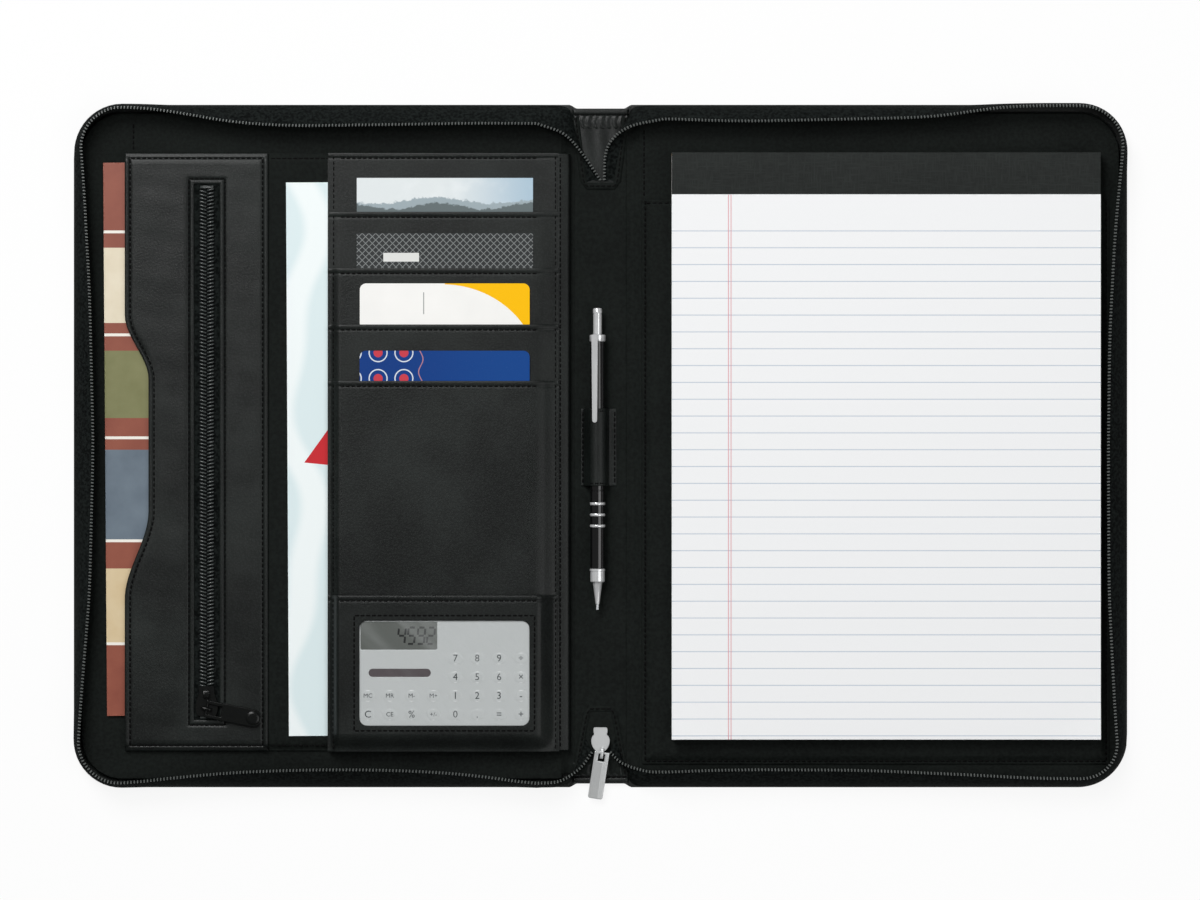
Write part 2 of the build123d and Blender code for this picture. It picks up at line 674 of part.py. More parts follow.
def calculator(z):
    """Case tray, circuit board, face plate, display, solar cell and keys."""
    size = (CALC_WIDTH, CALC_HEIGHT)
    middle = (0, 0)
    face_z = z + CALC_CASE_T
    face_top = face_z + CALC_FACE_T
    case = on_calculator(size, middle, z, face_z)
    case = fillet(case.edges().filter_by(Axis.Z), CALC_RADIUS)
    case -= on_calculator(size, middle, z + CALC_FLOOR, face_z, -CALC_WALL)
    board_z = face_z - CALC_BOARD_T
    board = on_calculator(size, middle, board_z, face_z, -CALC_WALL - CALC_FIT)
    face = on_calculator(size, middle, face_z, face_top)
    face = fillet(face.edges().filter_by(Axis.Z), CALC_RADIUS)
    face -= on_calculator(display_size, display_centre, face_z, face_top, CALC_FIT)
    face -= on_calculator(solar_size, solar_centre, face_z, face_top, CALC_FIT)
    keys = []
    for place in key_places():
        face -= on_calculator(key_size, place, face_z, face_top, CALC_FIT)
        key = on_calculator(key_size, place, face_z, face_top + KEY_RISE)
        keys.append(fillet(key.edges().filter_by(Axis.Z), KEY_RADIUS))
    return {
        "calculator_case": case,
        "calculator_circuit_board": board,
        "calculator_face": face,
        "calculator_display": on_calculator(display_size, display_centre, face_z, face_top),
        "calculator_solar_cell": on_calculator(solar_size, solar_centre, face_z, face_top),
        "calculator_keys": Compound(children=keys),
    }


def slider_plate(shape, z0):
    """Bell-shaped slider plate of (length, head, belly, tail), its head at +Y, centred on the Z axis."""
    length, head, belly, tail = shape
    half = length / 2
    waist = -half / 3
    points = [(head / 2, half), (-head / 2, half), (-belly / 2, waist), (-tail / 2, -half),
              (tail / 2, -half), (belly / 2, waist)]
    outline = make_face(Polyline(*points, close=True))
    outline = fillet(outline.vertices(), SLIDER_ROUND)
    return extrude(Pos(0, 0, z0) * outline, amount=SLIDER_PLATE_T, dir=(0, 0, 1))


def bail(z, pull_t, angle):
    """Bridge on a slider's upper plate, along the direction of its pull, with a lug under it."""
    half = BAIL_LENGTH / 2
    side = BAIL_WIDTH / 2
    room = pull_t + 2 * BAIL_FIT
    bridge = slab(-half, half, -side, side, z - SLIDER_PLATE_T, z + room + BAIL_BAR)
    bridge -= slab(-half + BAIL_BAR, half - BAIL_BAR, -side, side, z, z + room)
    return Rot(0, 0, angle) * bridge


def slider_body(shape, post, z, mouth, pull):
    """Two plates joined by a post, with a bail on top; pull is (thickness, angle, bail x, bail y)."""
    pull_t, angle, bail_x, bail_y = pull
    upper_z = z + SLIDER_PLATE_T + mouth
    body = slider_plate(shape, z) + slider_plate(shape, upper_z)
    post_half = SLIDER_POST_WIDTH / 2
    post_top = shape[0] / 2 - SLIDER_ROUND
    body += slab(-post_half, post_half, post_top - post, post_top, z, upper_z)
    return body + Pos(bail_x, bail_y, 0) * bail(upper_z + SLIDER_PLATE_T, pull_t, angle)


def pull_tag(length, width, thickness, end_radius, angle, droop):
    """Pull that lies along its angle from a round cross-bar at the origin, with an eye for the bail."""
    half = width / 2
    low = -thickness / 2
    tag = slab(0, length, -half, half, low, -low)
    tag = fillet(tag.edges().filter_by(Axis.Z).group_by(Axis.X)[-1], end_radius)
    tag -= slab(-half, EYE_LENGTH, -EYE_WIDTH / 2, EYE_WIDTH / 2, low, -low)
    tag += Rot(90, 0, 0) * Cylinder(thickness / 2, width)
    return Rot(0, 0, angle) * Rot(0, droop, 0) * tag


def pocket_slider():
    """Slider of the zip pocket and its pull, lying over the leather strip."""
    plate_z = zip_tape_z - PLAY - SLIDER_PLATE_T
    mouth = ZIP_TAPE_T + COIL_T + 2 * PLAY
    shape = (POCKET_SLIDER_LENGTH, POCKET_SLIDER_HEAD, POCKET_SLIDER_BELLY, POCKET_SLIDER_TAIL)
    pull = (POCKET_PULL_T, POCKET_PULL_ANGLE, 0, -POCKET_PULL_DROP)
    body = slider_body(shape, POCKET_SLIDER_POST, plate_z, mouth, pull)
    plate_top = plate_z + 2 * SLIDER_PLATE_T + mouth
    ridge_half = POCKET_RIDGE_WIDTH / 2
    ridge_top = POCKET_SLIDER_LENGTH / 2 - POCKET_RIDGE_SETBACK
    body += slab(-ridge_half, ridge_half, ridge_top - POCKET_RIDGE_LENGTH, ridge_top,
                 plate_top, plate_top + POCKET_RIDGE_HEIGHT)
    pivot = Pos(0, -POCKET_PULL_DROP, plate_top + BAIL_FIT + POCKET_PULL_T / 2)
    tag = pull_tag(POCKET_PULL_LENGTH, POCKET_PULL_WIDTH, POCKET_PULL_T, POCKET_PULL_ROUND,
                   POCKET_PULL_ANGLE, POCKET_PULL_DROOP)
    place = Pos(zip_x, pocket_slider_y, 0)
    return {"pocket_slider_body": place * body, "pocket_slider_pull": place * pivot * tag}


def main_slider():
    """Slider of the main zipper, parked on the lower gusset patch, and its pull tag."""
    offset = main_pivot_y - main_slider_y
    shape = (MAIN_SLIDER_LENGTH, MAIN_SLIDER_HEAD, MAIN_SLIDER_BELLY, MAIN_SLIDER_TAIL)
    pull = (MAIN_PULL_T, MAIN_PULL_ANGLE, MAIN_PULL_SIDE, offset)
    body = slider_body(shape, MAIN_SLIDER_POST, main_plate_z, MAIN_SLIDER_MOUTH, pull)
    pivot_z = main_plate_z + 2 * SLIDER_PLATE_T + MAIN_SLIDER_MOUTH + BAIL_FIT + MAIN_PULL_T / 2
    tag = pull_tag(MAIN_PULL_LENGTH, MAIN_PULL_WIDTH, MAIN_PULL_T, MAIN_PULL_ROUND, MAIN_PULL_ANGLE,
                   MAIN_PULL_DROOP)
    return {
        "main_slider_body": Pos(0, main_slider_y, 0) * body,
        "main_pull_tag": Pos(MAIN_PULL_SIDE, main_pivot_y, pivot_z) * tag,
    }


def on_pen_axis(radius, y0, y1):
    """Round bar on the pen's axis, from y0 up to y1."""
    return Pos(PEN_X, (y0 + y1) / 2, pen_z) * Rot(90, 0, 0) * Cylinder(radius, y1 - y0)


def pen_clip():
    """Band round the top of the barrel with a spring arm that lies over the loop, rolled to one side."""
    band = on_pen_axis(BARREL_RADIUS + CLIP_BAND_T, barrel_top - CLIP_BAND_LENGTH, barrel_top)
    under = loop_radius + LOOP_FIT
    half = CLIP_WIDTH / 2
    arm = slab(-half, half, barrel_top - CLIP_LENGTH, barrel_top, under, under + CLIP_T)
    neck = slab(-half, half, barrel_top - CLIP_BAND_LENGTH, barrel_top, BARREL_RADIUS, under)
    clip = band + Pos(PEN_X, 0, pen_z) * Rot(0, -CLIP_ROLL, 0) * (arm + neck)
    return clip - on_pen_axis(BARREL_RADIUS, barrel_top - CLIP_LENGTH, barrel_top)


def pen():
    """Push pen: barrel, clip, trim rings, nose with its spring, and the button with its refill."""
    barrel = on_pen_axis(BARREL_RADIUS, barrel_bottom, barrel_top)
    barrel -= on_pen_axis(BARREL_BORE, barrel_bottom, barrel_top)
    rings = []
    for index in range(RING_COUNT):
        low = barrel_bottom + RING_LIFT + index * RING_PITCH - RING_WIDTH / 2
        ring = on_pen_axis(RING_RADIUS, low, low + RING_WIDTH)
        rings.append(ring - on_pen_axis(BARREL_RADIUS, low, low + RING_WIDTH))
    nose = on_pen_axis(RING_RADIUS, cone_top, barrel_bottom)
    nose += (Pos(PEN_X, (cone_top + cone_bottom) / 2, pen_z) * Rot(90, 0, 0)
             * Cone(BARREL_RADIUS, CONE_TIP_RADIUS, CONE_LENGTH))
    nose -= on_pen_axis(NOSE_BORE, barrel_bottom - NOSE_BORE_DEPTH, barrel_bottom)
    nose -= on_pen_axis(TIP_BORE, cone_bottom, barrel_bottom)
    button_bottom = barrel_top - BUTTON_ROOT
    button = on_pen_axis(BUTTON_RADIUS, button_bottom, PEN_TOP)
    button = fillet(button.edges().group_by(Axis.Y)[-1], BUTTON_RADIUS / 2)
    point = cone_bottom - POINT_SHOWS
    refill_bottom = point + REFILL_TIP_LENGTH
    refill = on_pen_axis(REFILL_RADIUS, refill_bottom, button_bottom)
    refill += on_pen_axis(REFILL_TIP_RADIUS, point, refill_bottom)
    spring_low = barrel_bottom - NOSE_BORE_DEPTH
    spring = on_pen_axis(SPRING_OUTER, spring_low, spring_low + SPRING_LENGTH)
    spring -= on_pen_axis(SPRING_INNER, spring_low, spring_low + SPRING_LENGTH)
    return {
        "pen_barrel": barrel,
        "pen_clip": pen_clip(),
        "pen_trim_rings": Compound(children=rings),
        "pen_nose": nose,
        "pen_spring": spring,
        "pen_push_button": button,
        "pen_refill": refill,
    }


def pen_loop():
    """Leather loop that grips the pen, on a tab sewn to the spine."""
    y0 = LOOP_CENTRE - LOOP_LENGTH / 2
    y1 = LOOP_CENTRE + LOOP_LENGTH / 2
    tab = slab(PEN_X - LOOP_TAB_LEFT, PEN_X + LOOP_TAB_RIGHT, y0, y1, spine_top, spine_top + LOOP_TAB_T)
    return on_pen_axis(loop_radius, y0, y1) + tab - on_pen_axis(loop_bore, y0, y1)


def papers():
    """Magazine in the document pocket and brochure behind the organizer."""
    magazine = sheet(panel_left - MAGAZINE_SHOW + PAPER_WIDTH / 2,
                     panel_top - MAGAZINE_DROP - PAPER_LENGTH / 2,
                     magazine_z, (PAPER_WIDTH, PAPER_LENGTH, MAGAZINE_T), MAGAZINE_TURN)
    brochure = sheet(strip_right + BROCHURE_GAP + BROCHURE_WIDTH / 2,
                     panel_top - BROCHURE_DROP - PAPER_LENGTH / 2,
                     brochure_z, (BROCHURE_WIDTH, PAPER_LENGTH, BROCHURE_T), BROCHURE_TURN)
    return {"magazine": magazine, "brochure": brochure}


def padfolio():
    """Every piece under its own name."""
    nodes = {}
    for name, layer in cover_layers().items():
        nodes["right_" + name] = layer
        nodes["left_" + name] = other_side(layer)
    tape = zipper_tape()
    teeth = zipper_teeth()
    nodes.update({"right_zipper_tape": tape, "left_zipper_tape": other_side(tape)})
    nodes.update({"right_zipper_teeth": teeth, "left_zipper_teeth": other_side(teeth)})
    nodes["pad_pocket_panel"] = pad_pocket_panel()
    nodes.update(writing_pad())
    nodes.update(spine_layers())
    nodes["top_gusset_patch"] = gusset_patch(1, TOP_PATCH_LENGTH)
    nodes["bottom_gusset_patch"] = gusset_patch(-1, BOTTOM_PATCH_LENGTH)
    nodes["spine_zipper_teeth"] = spine_zipper_teeth()
    nodes["pen_loop"] = pen_loop()
    nodes.update(pen())
    nodes.update(main_slider())
    nodes["document_pocket_panel"] = document_pocket_panel()
    nodes.update(zip_pocket())
    nodes.update(pocket_slider())
    nodes["organizer_backing"] = organizer_backing()
    pockets, pocket_top, margin_z = card_pockets()
    nodes.update(pockets)
    nodes.update(window_pocket(pocket_top, margin_z))
    nodes.update(calculator(pocket_top + PLAY))
    nodes.update(papers())
    return nodes


os.makedirs("parts", exist_ok=True)
for node_name, solid in padfolio().items():
    export_step(solid, "parts/%s.step" % node_name)
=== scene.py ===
"""Dresses the solids of an open zip-round folder: leather, lining, zippers, pad, pen, cards and calculator.

Sizes in this file are millimetres in the part's own frame: X across the open book, Y towards the top edge of
the pages, Z up from the table. Meshes are scaled to metres when they are made.
"""
from __future__ import annotations

import functools
import logging
import math
from dataclasses import dataclass, field
from enum import Enum
from typing import Callable, Optional, Sequence, Union

import bmesh
import bpy
import numpy as np
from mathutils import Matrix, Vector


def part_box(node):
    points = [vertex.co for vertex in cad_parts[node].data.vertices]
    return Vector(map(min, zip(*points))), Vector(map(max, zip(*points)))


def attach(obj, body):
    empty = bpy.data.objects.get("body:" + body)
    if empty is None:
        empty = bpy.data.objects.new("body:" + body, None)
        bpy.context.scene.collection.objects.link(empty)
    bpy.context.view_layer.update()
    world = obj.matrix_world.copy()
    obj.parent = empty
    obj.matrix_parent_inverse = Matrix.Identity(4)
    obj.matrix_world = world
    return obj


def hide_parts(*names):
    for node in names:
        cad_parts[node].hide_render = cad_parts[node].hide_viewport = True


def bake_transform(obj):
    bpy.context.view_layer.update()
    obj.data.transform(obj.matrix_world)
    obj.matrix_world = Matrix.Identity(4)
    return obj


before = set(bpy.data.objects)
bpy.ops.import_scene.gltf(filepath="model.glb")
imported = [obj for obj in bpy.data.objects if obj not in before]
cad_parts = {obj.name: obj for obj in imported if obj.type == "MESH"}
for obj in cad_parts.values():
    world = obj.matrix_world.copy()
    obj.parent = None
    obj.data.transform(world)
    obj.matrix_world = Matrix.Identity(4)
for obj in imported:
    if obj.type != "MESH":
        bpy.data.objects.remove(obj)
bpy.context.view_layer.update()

LOG = logging.getLogger("padfolio")
MM = 0.001
LEAST_SHEET = 10.0

UP = np.array([0.0, 0.0, 1.0])

Array = np.ndarray
Height = Union[float, np.ndarray]
Grid = tuple[Array, Array, Array]
Pair = tuple[float, float]
Spot = tuple[float, float, float]
Color = Union[str, tuple[float, float, float, float]]
Value = Union["Wire", float, str, tuple]
Material = bpy.types.Material
Piece = bpy.types.Object


def linear(code: str, share: float = 1.0) -> Color:
    """Colour of a screen code such as #1E2120, as the linear values that a shader takes.

    Args:
        code: Six hexadecimal digits after a hash.
        share: Factor of each value.

    Returns:
        Red, green, blue and an alpha of one.
    """
    shares = [int(code[i:i + 2], 16) / 255 for i in (1, 3, 5)]
    values = [s / 12.92 if s <= 0.04045 else ((s + 0.055) / 1.055) ** 2.4 for s in shares]
    return (*(min(v * share, 1.0) for v in values), 1.0)


def operator(operation: str, reflected: bool = False) -> Callable[..., "Wire"]:
    """Method that adds one Math node.

    Args:
        operation: The node's operation.
        reflected: Whether the other value comes first.

    Returns:
        The method, for a class of wires.
    """
    def method(wire: "Wire", *others: Value) -> "Wire":
        """Result of the operation."""
        return wire.bench.math(operation, *((*others, wire) if reflected else (wire, *others)))
    return method


class Wire:
    """A shader socket that takes part in Python arithmetic: each operator adds one Math node."""

    __add__ = operator("ADD")
    __radd__ = operator("ADD", True)
    __sub__ = operator("SUBTRACT")
    __rsub__ = operator("SUBTRACT", True)
    __mul__ = operator("MULTIPLY")
    __rmul__ = operator("MULTIPLY", True)
    __truediv__ = operator("DIVIDE")
    __rtruediv__ = operator("DIVIDE", True)
    __lt__ = operator("LESS_THAN")
    __gt__ = operator("GREATER_THAN")
    __abs__ = operator("ABSOLUTE")

    def __init__(self, bench: "Bench", socket: bpy.types.NodeSocket) -> None:
        """Keeps the bench that the socket belongs to."""
        self.bench = bench
        self.socket = socket


class Bench:
    """The node tree of one material while it is being wired."""

    def __init__(self, name: str) -> None:
        """Starts a material with its Principled shader.

        Args:
            name: The material's name.
        """
        self.material = bpy.data.materials.new(name)
        self.material.use_nodes = True
        self.tree = self.material.node_tree
        self.shader = self.tree.nodes["Principled BSDF"]
        self.output = self.tree.nodes["Material Output"]

    def node(self, kind: str, settings: Optional[dict] = None, inputs: Optional[dict] = None,
             output: Union[int, str] = 0) -> Wire:
        """Adds any node.

        Args:
            kind: Type without its ShaderNode prefix.
            settings: Properties, set first.
            inputs: Values or wires by socket name or number.
            output: Name or number of the socket to give back.

        Returns:
            The chosen output.
        """
        node = self.tree.nodes.new("ShaderNode" + kind)
        for key, value in (settings or {}).items():
            setattr(node, key, value)
        for key, value in (inputs or {}).items():
            self.feed(node.inputs[key], value)
        return Wire(self, node.outputs[output])

    def feed(self, socket: bpy.types.NodeSocket, value: Value) -> None:
        """Links a wire to a socket, or sets its value.

        Args:
            socket: An input.
            value: A wire, a constant, or the screen code of a colour.
        """
        if isinstance(value, Wire):
            self.tree.links.new(value.socket, socket)
        else:
            socket.default_value = linear(value) if isinstance(value, str) else value

    def math(self, operation: str, *values: Value) -> Wire:
        """One Math node on values of which at least one is a wire."""
        return self.node("Math", {"operation": operation}, dict(enumerate(values)))

    def mix(self, share: Value, first: Value, second: Value) -> Wire:
        """Colour between two, by a share from 0 to 1."""
        settings = {"data_type": "RGBA", "clamp_factor": True}
        return self.node("Mix", settings, {0: share, 6: first, 7: second}, 2)

    def place(self) -> Wire:
        """Place on the object, in millimetres of its own frame."""
        raw = self.node("TexCoord", output="Object")
        return self.node("VectorMath", {"operation": "SCALE"}, {0: raw, "Scale": 1 / MM})

    def drawn(self, where: Wire, shares: Spot) -> Wire:
        """Places with each axis times a share: a noise there is drawn out along the small ones."""
        return self.node("VectorMath", {"operation": "MULTIPLY"}, {0: where, 1: shares})

    def chart(self) -> Wire:
        """Place on the surface's own flat map, in millimetres."""
        return self.node("UVMap", {"uv_map": "chart"})

    def axes(self, vector: Wire) -> tuple[Wire, Wire, Wire]:
        """The three numbers of a vector."""
        split = self.node("SeparateXYZ", inputs={0: vector}).socket.node
        return tuple(Wire(self, output) for output in split.outputs)

    def noise(self, where: Wire, size: float, detail: float = 2.0) -> Wire:
        """Cloudy value from 0 to 1 whose blots are about size millimetres across."""
        return self.node("TexNoise", inputs={"Vector": where, "Scale": 1 / size, "Detail": detail})

    def cells(self, where: Wire, size: float) -> Wire:
        """Distance to the nearest of scattered points about size millimetres apart, from 0 up to about 1."""
        return self.node("TexVoronoi", {"feature": "SMOOTH_F1"}, {"Vector": where, "Scale": 1 / size,
                                                                  "Smoothness": 0.35})

    def wave(self, value: Wire, period: float) -> Wire:
        """Sine of a length in millimetres with the given period, from -1 to 1."""
        return self.math("SINE", value * (2 * math.pi / period))

    def band(self, value: Wire, middle: float, width: float) -> Wire:
        """One within half a width of the middle, else nought."""
        return abs(value - middle) < width / 2

    def soft(self, value: Wire, low: float, high: float) -> Wire:
        """Share that rises smoothly from 0 at low to 1 at high."""
        return self.node("MapRange", {"interpolation_type": "SMOOTHSTEP", "clamp": True},
                         {"Value": value, "From Min": low, "From Max": high})

    def finish(self, color: Value, roughness: Value, height: Optional[Wire] = None, depth: float = 0.1,
               **sockets: Value) -> Material:
        """Wires colour, roughness and relief to the shader.

        Args:
            color: Base colour.
            roughness: Roughness.
            height: Relief from 0 to 1.
            depth: Height of that relief in millimetres.
            **sockets: Other sockets of the shader, spaces in their names written as underscores.

        Returns:
            The finished material.
        """
        self.feed(self.shader.inputs["Base Color"], color)
        self.feed(self.shader.inputs["Roughness"], roughness)
        for name, value in sockets.items():
            self.feed(self.shader.inputs[name.replace("_", " ")], value)
        if height is not None:
            bump = self.node("Bump", inputs={"Height": height, "Distance": depth * MM, "Strength": 1.0})
            self.feed(self.shader.inputs["Normal"], bump)
        return self.material


@dataclass(frozen=True)
class Finish:
    """A surface finish; each kind wires its own nodes."""

    name: str

    def material(self) -> Material:
        """The finish's material, made once."""
        label = "look_" + self.name
        found = bpy.data.materials.get(label)
        return found or self.wire(Bench(label))

    def wire(self, bench: Bench) -> Material:
        """Wires the nodes of this finish.

        Args:
            bench: The new material's bench.

        Returns:
            The finished material.
        """
        raise NotImplementedError


@dataclass(frozen=True)
class Leather(Finish):
    """Pebbled leather: rounded cells with fine creases, lighter on the pebble tops and in broad patches of
    painted sheen.
    """

    deep: Color
    sheen_tone: Color
    grain: float = 1.0
    depth: float = 0.05
    roughness: float = 0.42
    shine: float = 0.3

    def wire(self, bench: Bench) -> Material:
        """Cells give the pebbles, fine noise the pores, broad noise the patches of painted sheen."""
        where = bench.place()
        pebbles = bench.cells(where, self.grain)
        pores = bench.noise(where, self.grain * 0.4, 3.0)
        sheen_patches = bench.noise(where, 38.0, 3.0)
        height = (1 - pebbles) * 0.75 + pores * 0.25
        # Painted sheen: broad noise patches take the lighter colour; the pebble tops are lightened too.
        sheen_tone = bench.soft(sheen_patches, 0.34, 0.76) * 0.5 + bench.soft(height, 0.35, 0.85) * 0.5
        color = bench.mix(sheen_tone, self.deep, self.sheen_tone)
        rough = self.roughness + (pores - 0.5) * 0.2 + (sheen_patches - 0.5) * 0.24
        return bench.finish(color, rough, height, self.depth, Specular_IOR_Level=self.shine)


@dataclass(frozen=True)
class LiningCloth(Finish):
    """Plain-woven lining: two crossing sets of threads, slightly slubbed."""

    dark: Color
    light: Color
    thread: float = 0.55

    def wire(self, bench: Bench) -> Material:
        """Crossing sines give the threads, long noise the slubs, broad noise the shading of the cloth."""
        where = bench.place()
        x, y, _ = bench.axes(where)
        weave = bench.wave(x, self.thread) * bench.wave(y, self.thread) * 0.5 + 0.5
        slubs = bench.soft(bench.noise(where, 1.7), 0.3, 0.7)
        broad = bench.noise(where, 45.0)
        share = weave * 0.2 + slubs * 0.4 + broad * 0.4
        color = bench.mix(share, self.dark, self.light)
        rough = 0.72 + (slubs - 0.5) * 0.2
        return bench.finish(color, rough, weave * 0.6 + slubs * 0.4, 0.05, Specular_IOR_Level=0.06)


@dataclass(frozen=True)
class ZipTape(Finish):
    """Herringbone tape: ribs across the tape that turn back at every band."""

    dark: Color
    light: Color
    rib: float = 0.8
    band: float = 2.4

    def wire(self, bench: Bench) -> Material:
        """A triangle wave across the tape bends ribs that run along it into chevrons."""
        along, across, _ = bench.axes(bench.chart())
        turn = bench.math("PINGPONG", across, self.band)
        ribs = bench.wave(along + turn, self.rib) * 0.5 + 0.5
        fuzz = bench.soft(bench.noise(bench.place(), 1.5), 0.36, 0.64)
        broad = bench.noise(bench.place(), 26.0)
        color = bench.mix(ribs * 0.2 + fuzz * 0.6 + broad * 0.2, self.dark, self.light)
        rough = 0.75 + (fuzz - 0.5) * 0.1
        return bench.finish(color, rough, ribs * 0.7 + fuzz * 0.3, 0.16, Specular_IOR_Level=0.02)


@dataclass(frozen=True)
class Plastic(Finish):
    """Moulded plastic or paint: an even colour with a faint cloudiness and a fine surface."""

    color: Color
    roughness: float
    variation: float = 0.12
    coat: float = 0.0
    speck: float = 0.7
    shine: float = 0.5

    def wire(self, bench: Bench) -> Material:
        """Broad noise shades the colour, fine noise the roughness and the relief."""
        where = bench.place()
        broad = bench.noise(where, 18.0)
        fine = bench.noise(where, self.speck, 3.0)
        darker = linear(self.color, 1 - self.variation)
        lighter = linear(self.color, 1 + self.variation)
        color = bench.mix(broad * 0.5 + fine * 0.5, darker, lighter)
        rough = self.roughness + (fine - 0.5) * 0.12
        return bench.finish(color, rough, fine, 0.012, Coat_Weight=self.coat, Specular_IOR_Level=self.shine)


@dataclass(frozen=True)
class Metal(Finish):
    """Plated metal with hairline scratches along one axis and a faint tarnish."""

    color: Color
    roughness: float
    metallic: float = 1.0

    def wire(self, bench: Bench) -> Material:
        """Noise stretched along the grain gives hairlines, broad noise the tarnish."""
        where = bench.place()
        hair = bench.noise(bench.drawn(where, (1.0, 0.06, 1.0)), 0.35, 3.0)
        tarnish = bench.noise(where, 9.0)
        color = bench.mix(tarnish * 0.6 + hair * 0.4, linear(self.color, 0.82), self.color)
        rough = self.roughness + (hair - 0.5) * 0.14 + (tarnish - 0.5) * 0.1
        return bench.finish(color, rough, hair, 0.006, Metallic=self.metallic)


@dataclass(frozen=True)
class PlainPaper(Finish):
    """Uncoated paper or board: fibres and, on the cut sides, one line for each sheet."""

    color: Color
    sheet: float = 0.0

    def wire(self, bench: Bench) -> Material:
        """Fine noise gives the fibres; a sine of the height gives the cut edges of the sheets."""
        where = bench.place()
        fibre = bench.noise(where, 0.5, 4.0)
        broad = bench.noise(where, 30.0)
        shade = fibre * 0.6 + broad * 0.4
        if self.sheet:
            _, _, z = bench.axes(where)
            uneven = z + bench.noise(where, 14.0, 1.0) * self.sheet
            shade = shade * 0.6 + (bench.wave(uneven, self.sheet) * 0.5 + 0.5) * 0.4
        color = bench.mix(shade, linear(self.color, 0.86), self.color)
        return bench.finish(color, 0.82 + (fibre - 0.5) * 0.1, fibre, 0.01, Specular_IOR_Level=0.3)


@dataclass(frozen=True)
class RuledPaper(Finish):
    """White writing paper with pale rules and a double margin line."""

    paper: Color
    rule: Color
    margin: Color
    first_rule: float
    spacing: float
    margins: Pair
    line: float = 0.45

    def wire(self, bench: Bench) -> Material:
        """A sawtooth of the distance below the first rule draws the rules; two bands draw the margin."""
        where = bench.place()
        x, y, _ = bench.axes(where)
        below = (self.first_rule + self.spacing / 2 - y) / self.spacing
        near = abs(bench.math("FRACT", below) - 0.5) * self.spacing
        rules = (near < self.line / 2) * (y < self.first_rule + self.spacing / 2)
        fibre = bench.noise(where, 0.5, 4.0)
        color = bench.mix(fibre, linear(self.paper, 0.94), self.paper)
        color = bench.mix(rules * (0.6 + fibre * 0.4), color, self.rule)
        for place in self.margins:
            color = bench.mix(bench.band(x, place, self.line) * 0.85, color, self.margin)
        return bench.finish(color, 0.8 + (fibre - 0.5) * 0.1, fibre, 0.008, Specular_IOR_Level=0.3)


@dataclass(frozen=True)
class BookCloth(Finish):
    """Binding cloth: uneven crossing threads with pale dust between them."""

    dark: Color
    light: Color
    thread: float = 0.75

    def wire(self, bench: Bench) -> Material:
        """Noise stretched along each axis gives uneven threads; their larger share gives the weave."""
        where = bench.place()
        warp = bench.drawn(where, (1.0, 0.12, 1.0))
        weft = bench.drawn(where, (0.12, 1.0, 1.0))
        threads = bench.math("MAXIMUM", bench.noise(warp, self.thread), bench.noise(weft, self.thread))
        broad = bench.noise(where, 22.0)
        color = bench.mix(bench.soft(threads, 0.35, 0.8) * 0.7 + broad * 0.3, self.dark, self.light)
        return bench.finish(color, 0.75 + (threads - 0.5) * 0.2, threads, 0.09, Specular_IOR_Level=0.25)


@dataclass(frozen=True)
class ClearFilm(Finish):
    """Clear flexible film, faintly hazed, with pale diagonal streaks of painted glare."""

    haze_and_glare: Color

    def wire(self, bench: Bench) -> Material:
        """Stretched noise across the film raises the alpha of its pale colour in streaks of painted glare."""
        where = bench.place()
        turned = bench.node("VectorRotate", {"rotation_type": "Z_AXIS"}, {"Vector": where, "Angle": 0.7})
        glare_streak = bench.noise(bench.drawn(turned, (0.12, 1.0, 1.0)), 9.0)
        waves = bench.noise(where, 16.0)
        # Painted glare: the pale film colour shows more strongly along diagonal streaks.
        alpha = 0.015 + bench.soft(glare_streak, 0.44, 0.74) * 0.065
        return bench.finish(self.haze_and_glare, 0.12 + waves * 0.1, waves, 0.3, Alpha=alpha, IOR=1.45)


class Motif(Enum):
    """Plain designs for printed sheets and cards."""

    SKY = "pale sky over low hills"
    LATTICE = "fine diagonal lattice with a pale label"
    CORNER = "white with a yellow corner and a thin upright line"
    DOTS = "deep blue with ringed spots"
    BANDS = "pale blue with soft white bands and a wedge"
    BLOCKS = "blocks of warm and grey colours"


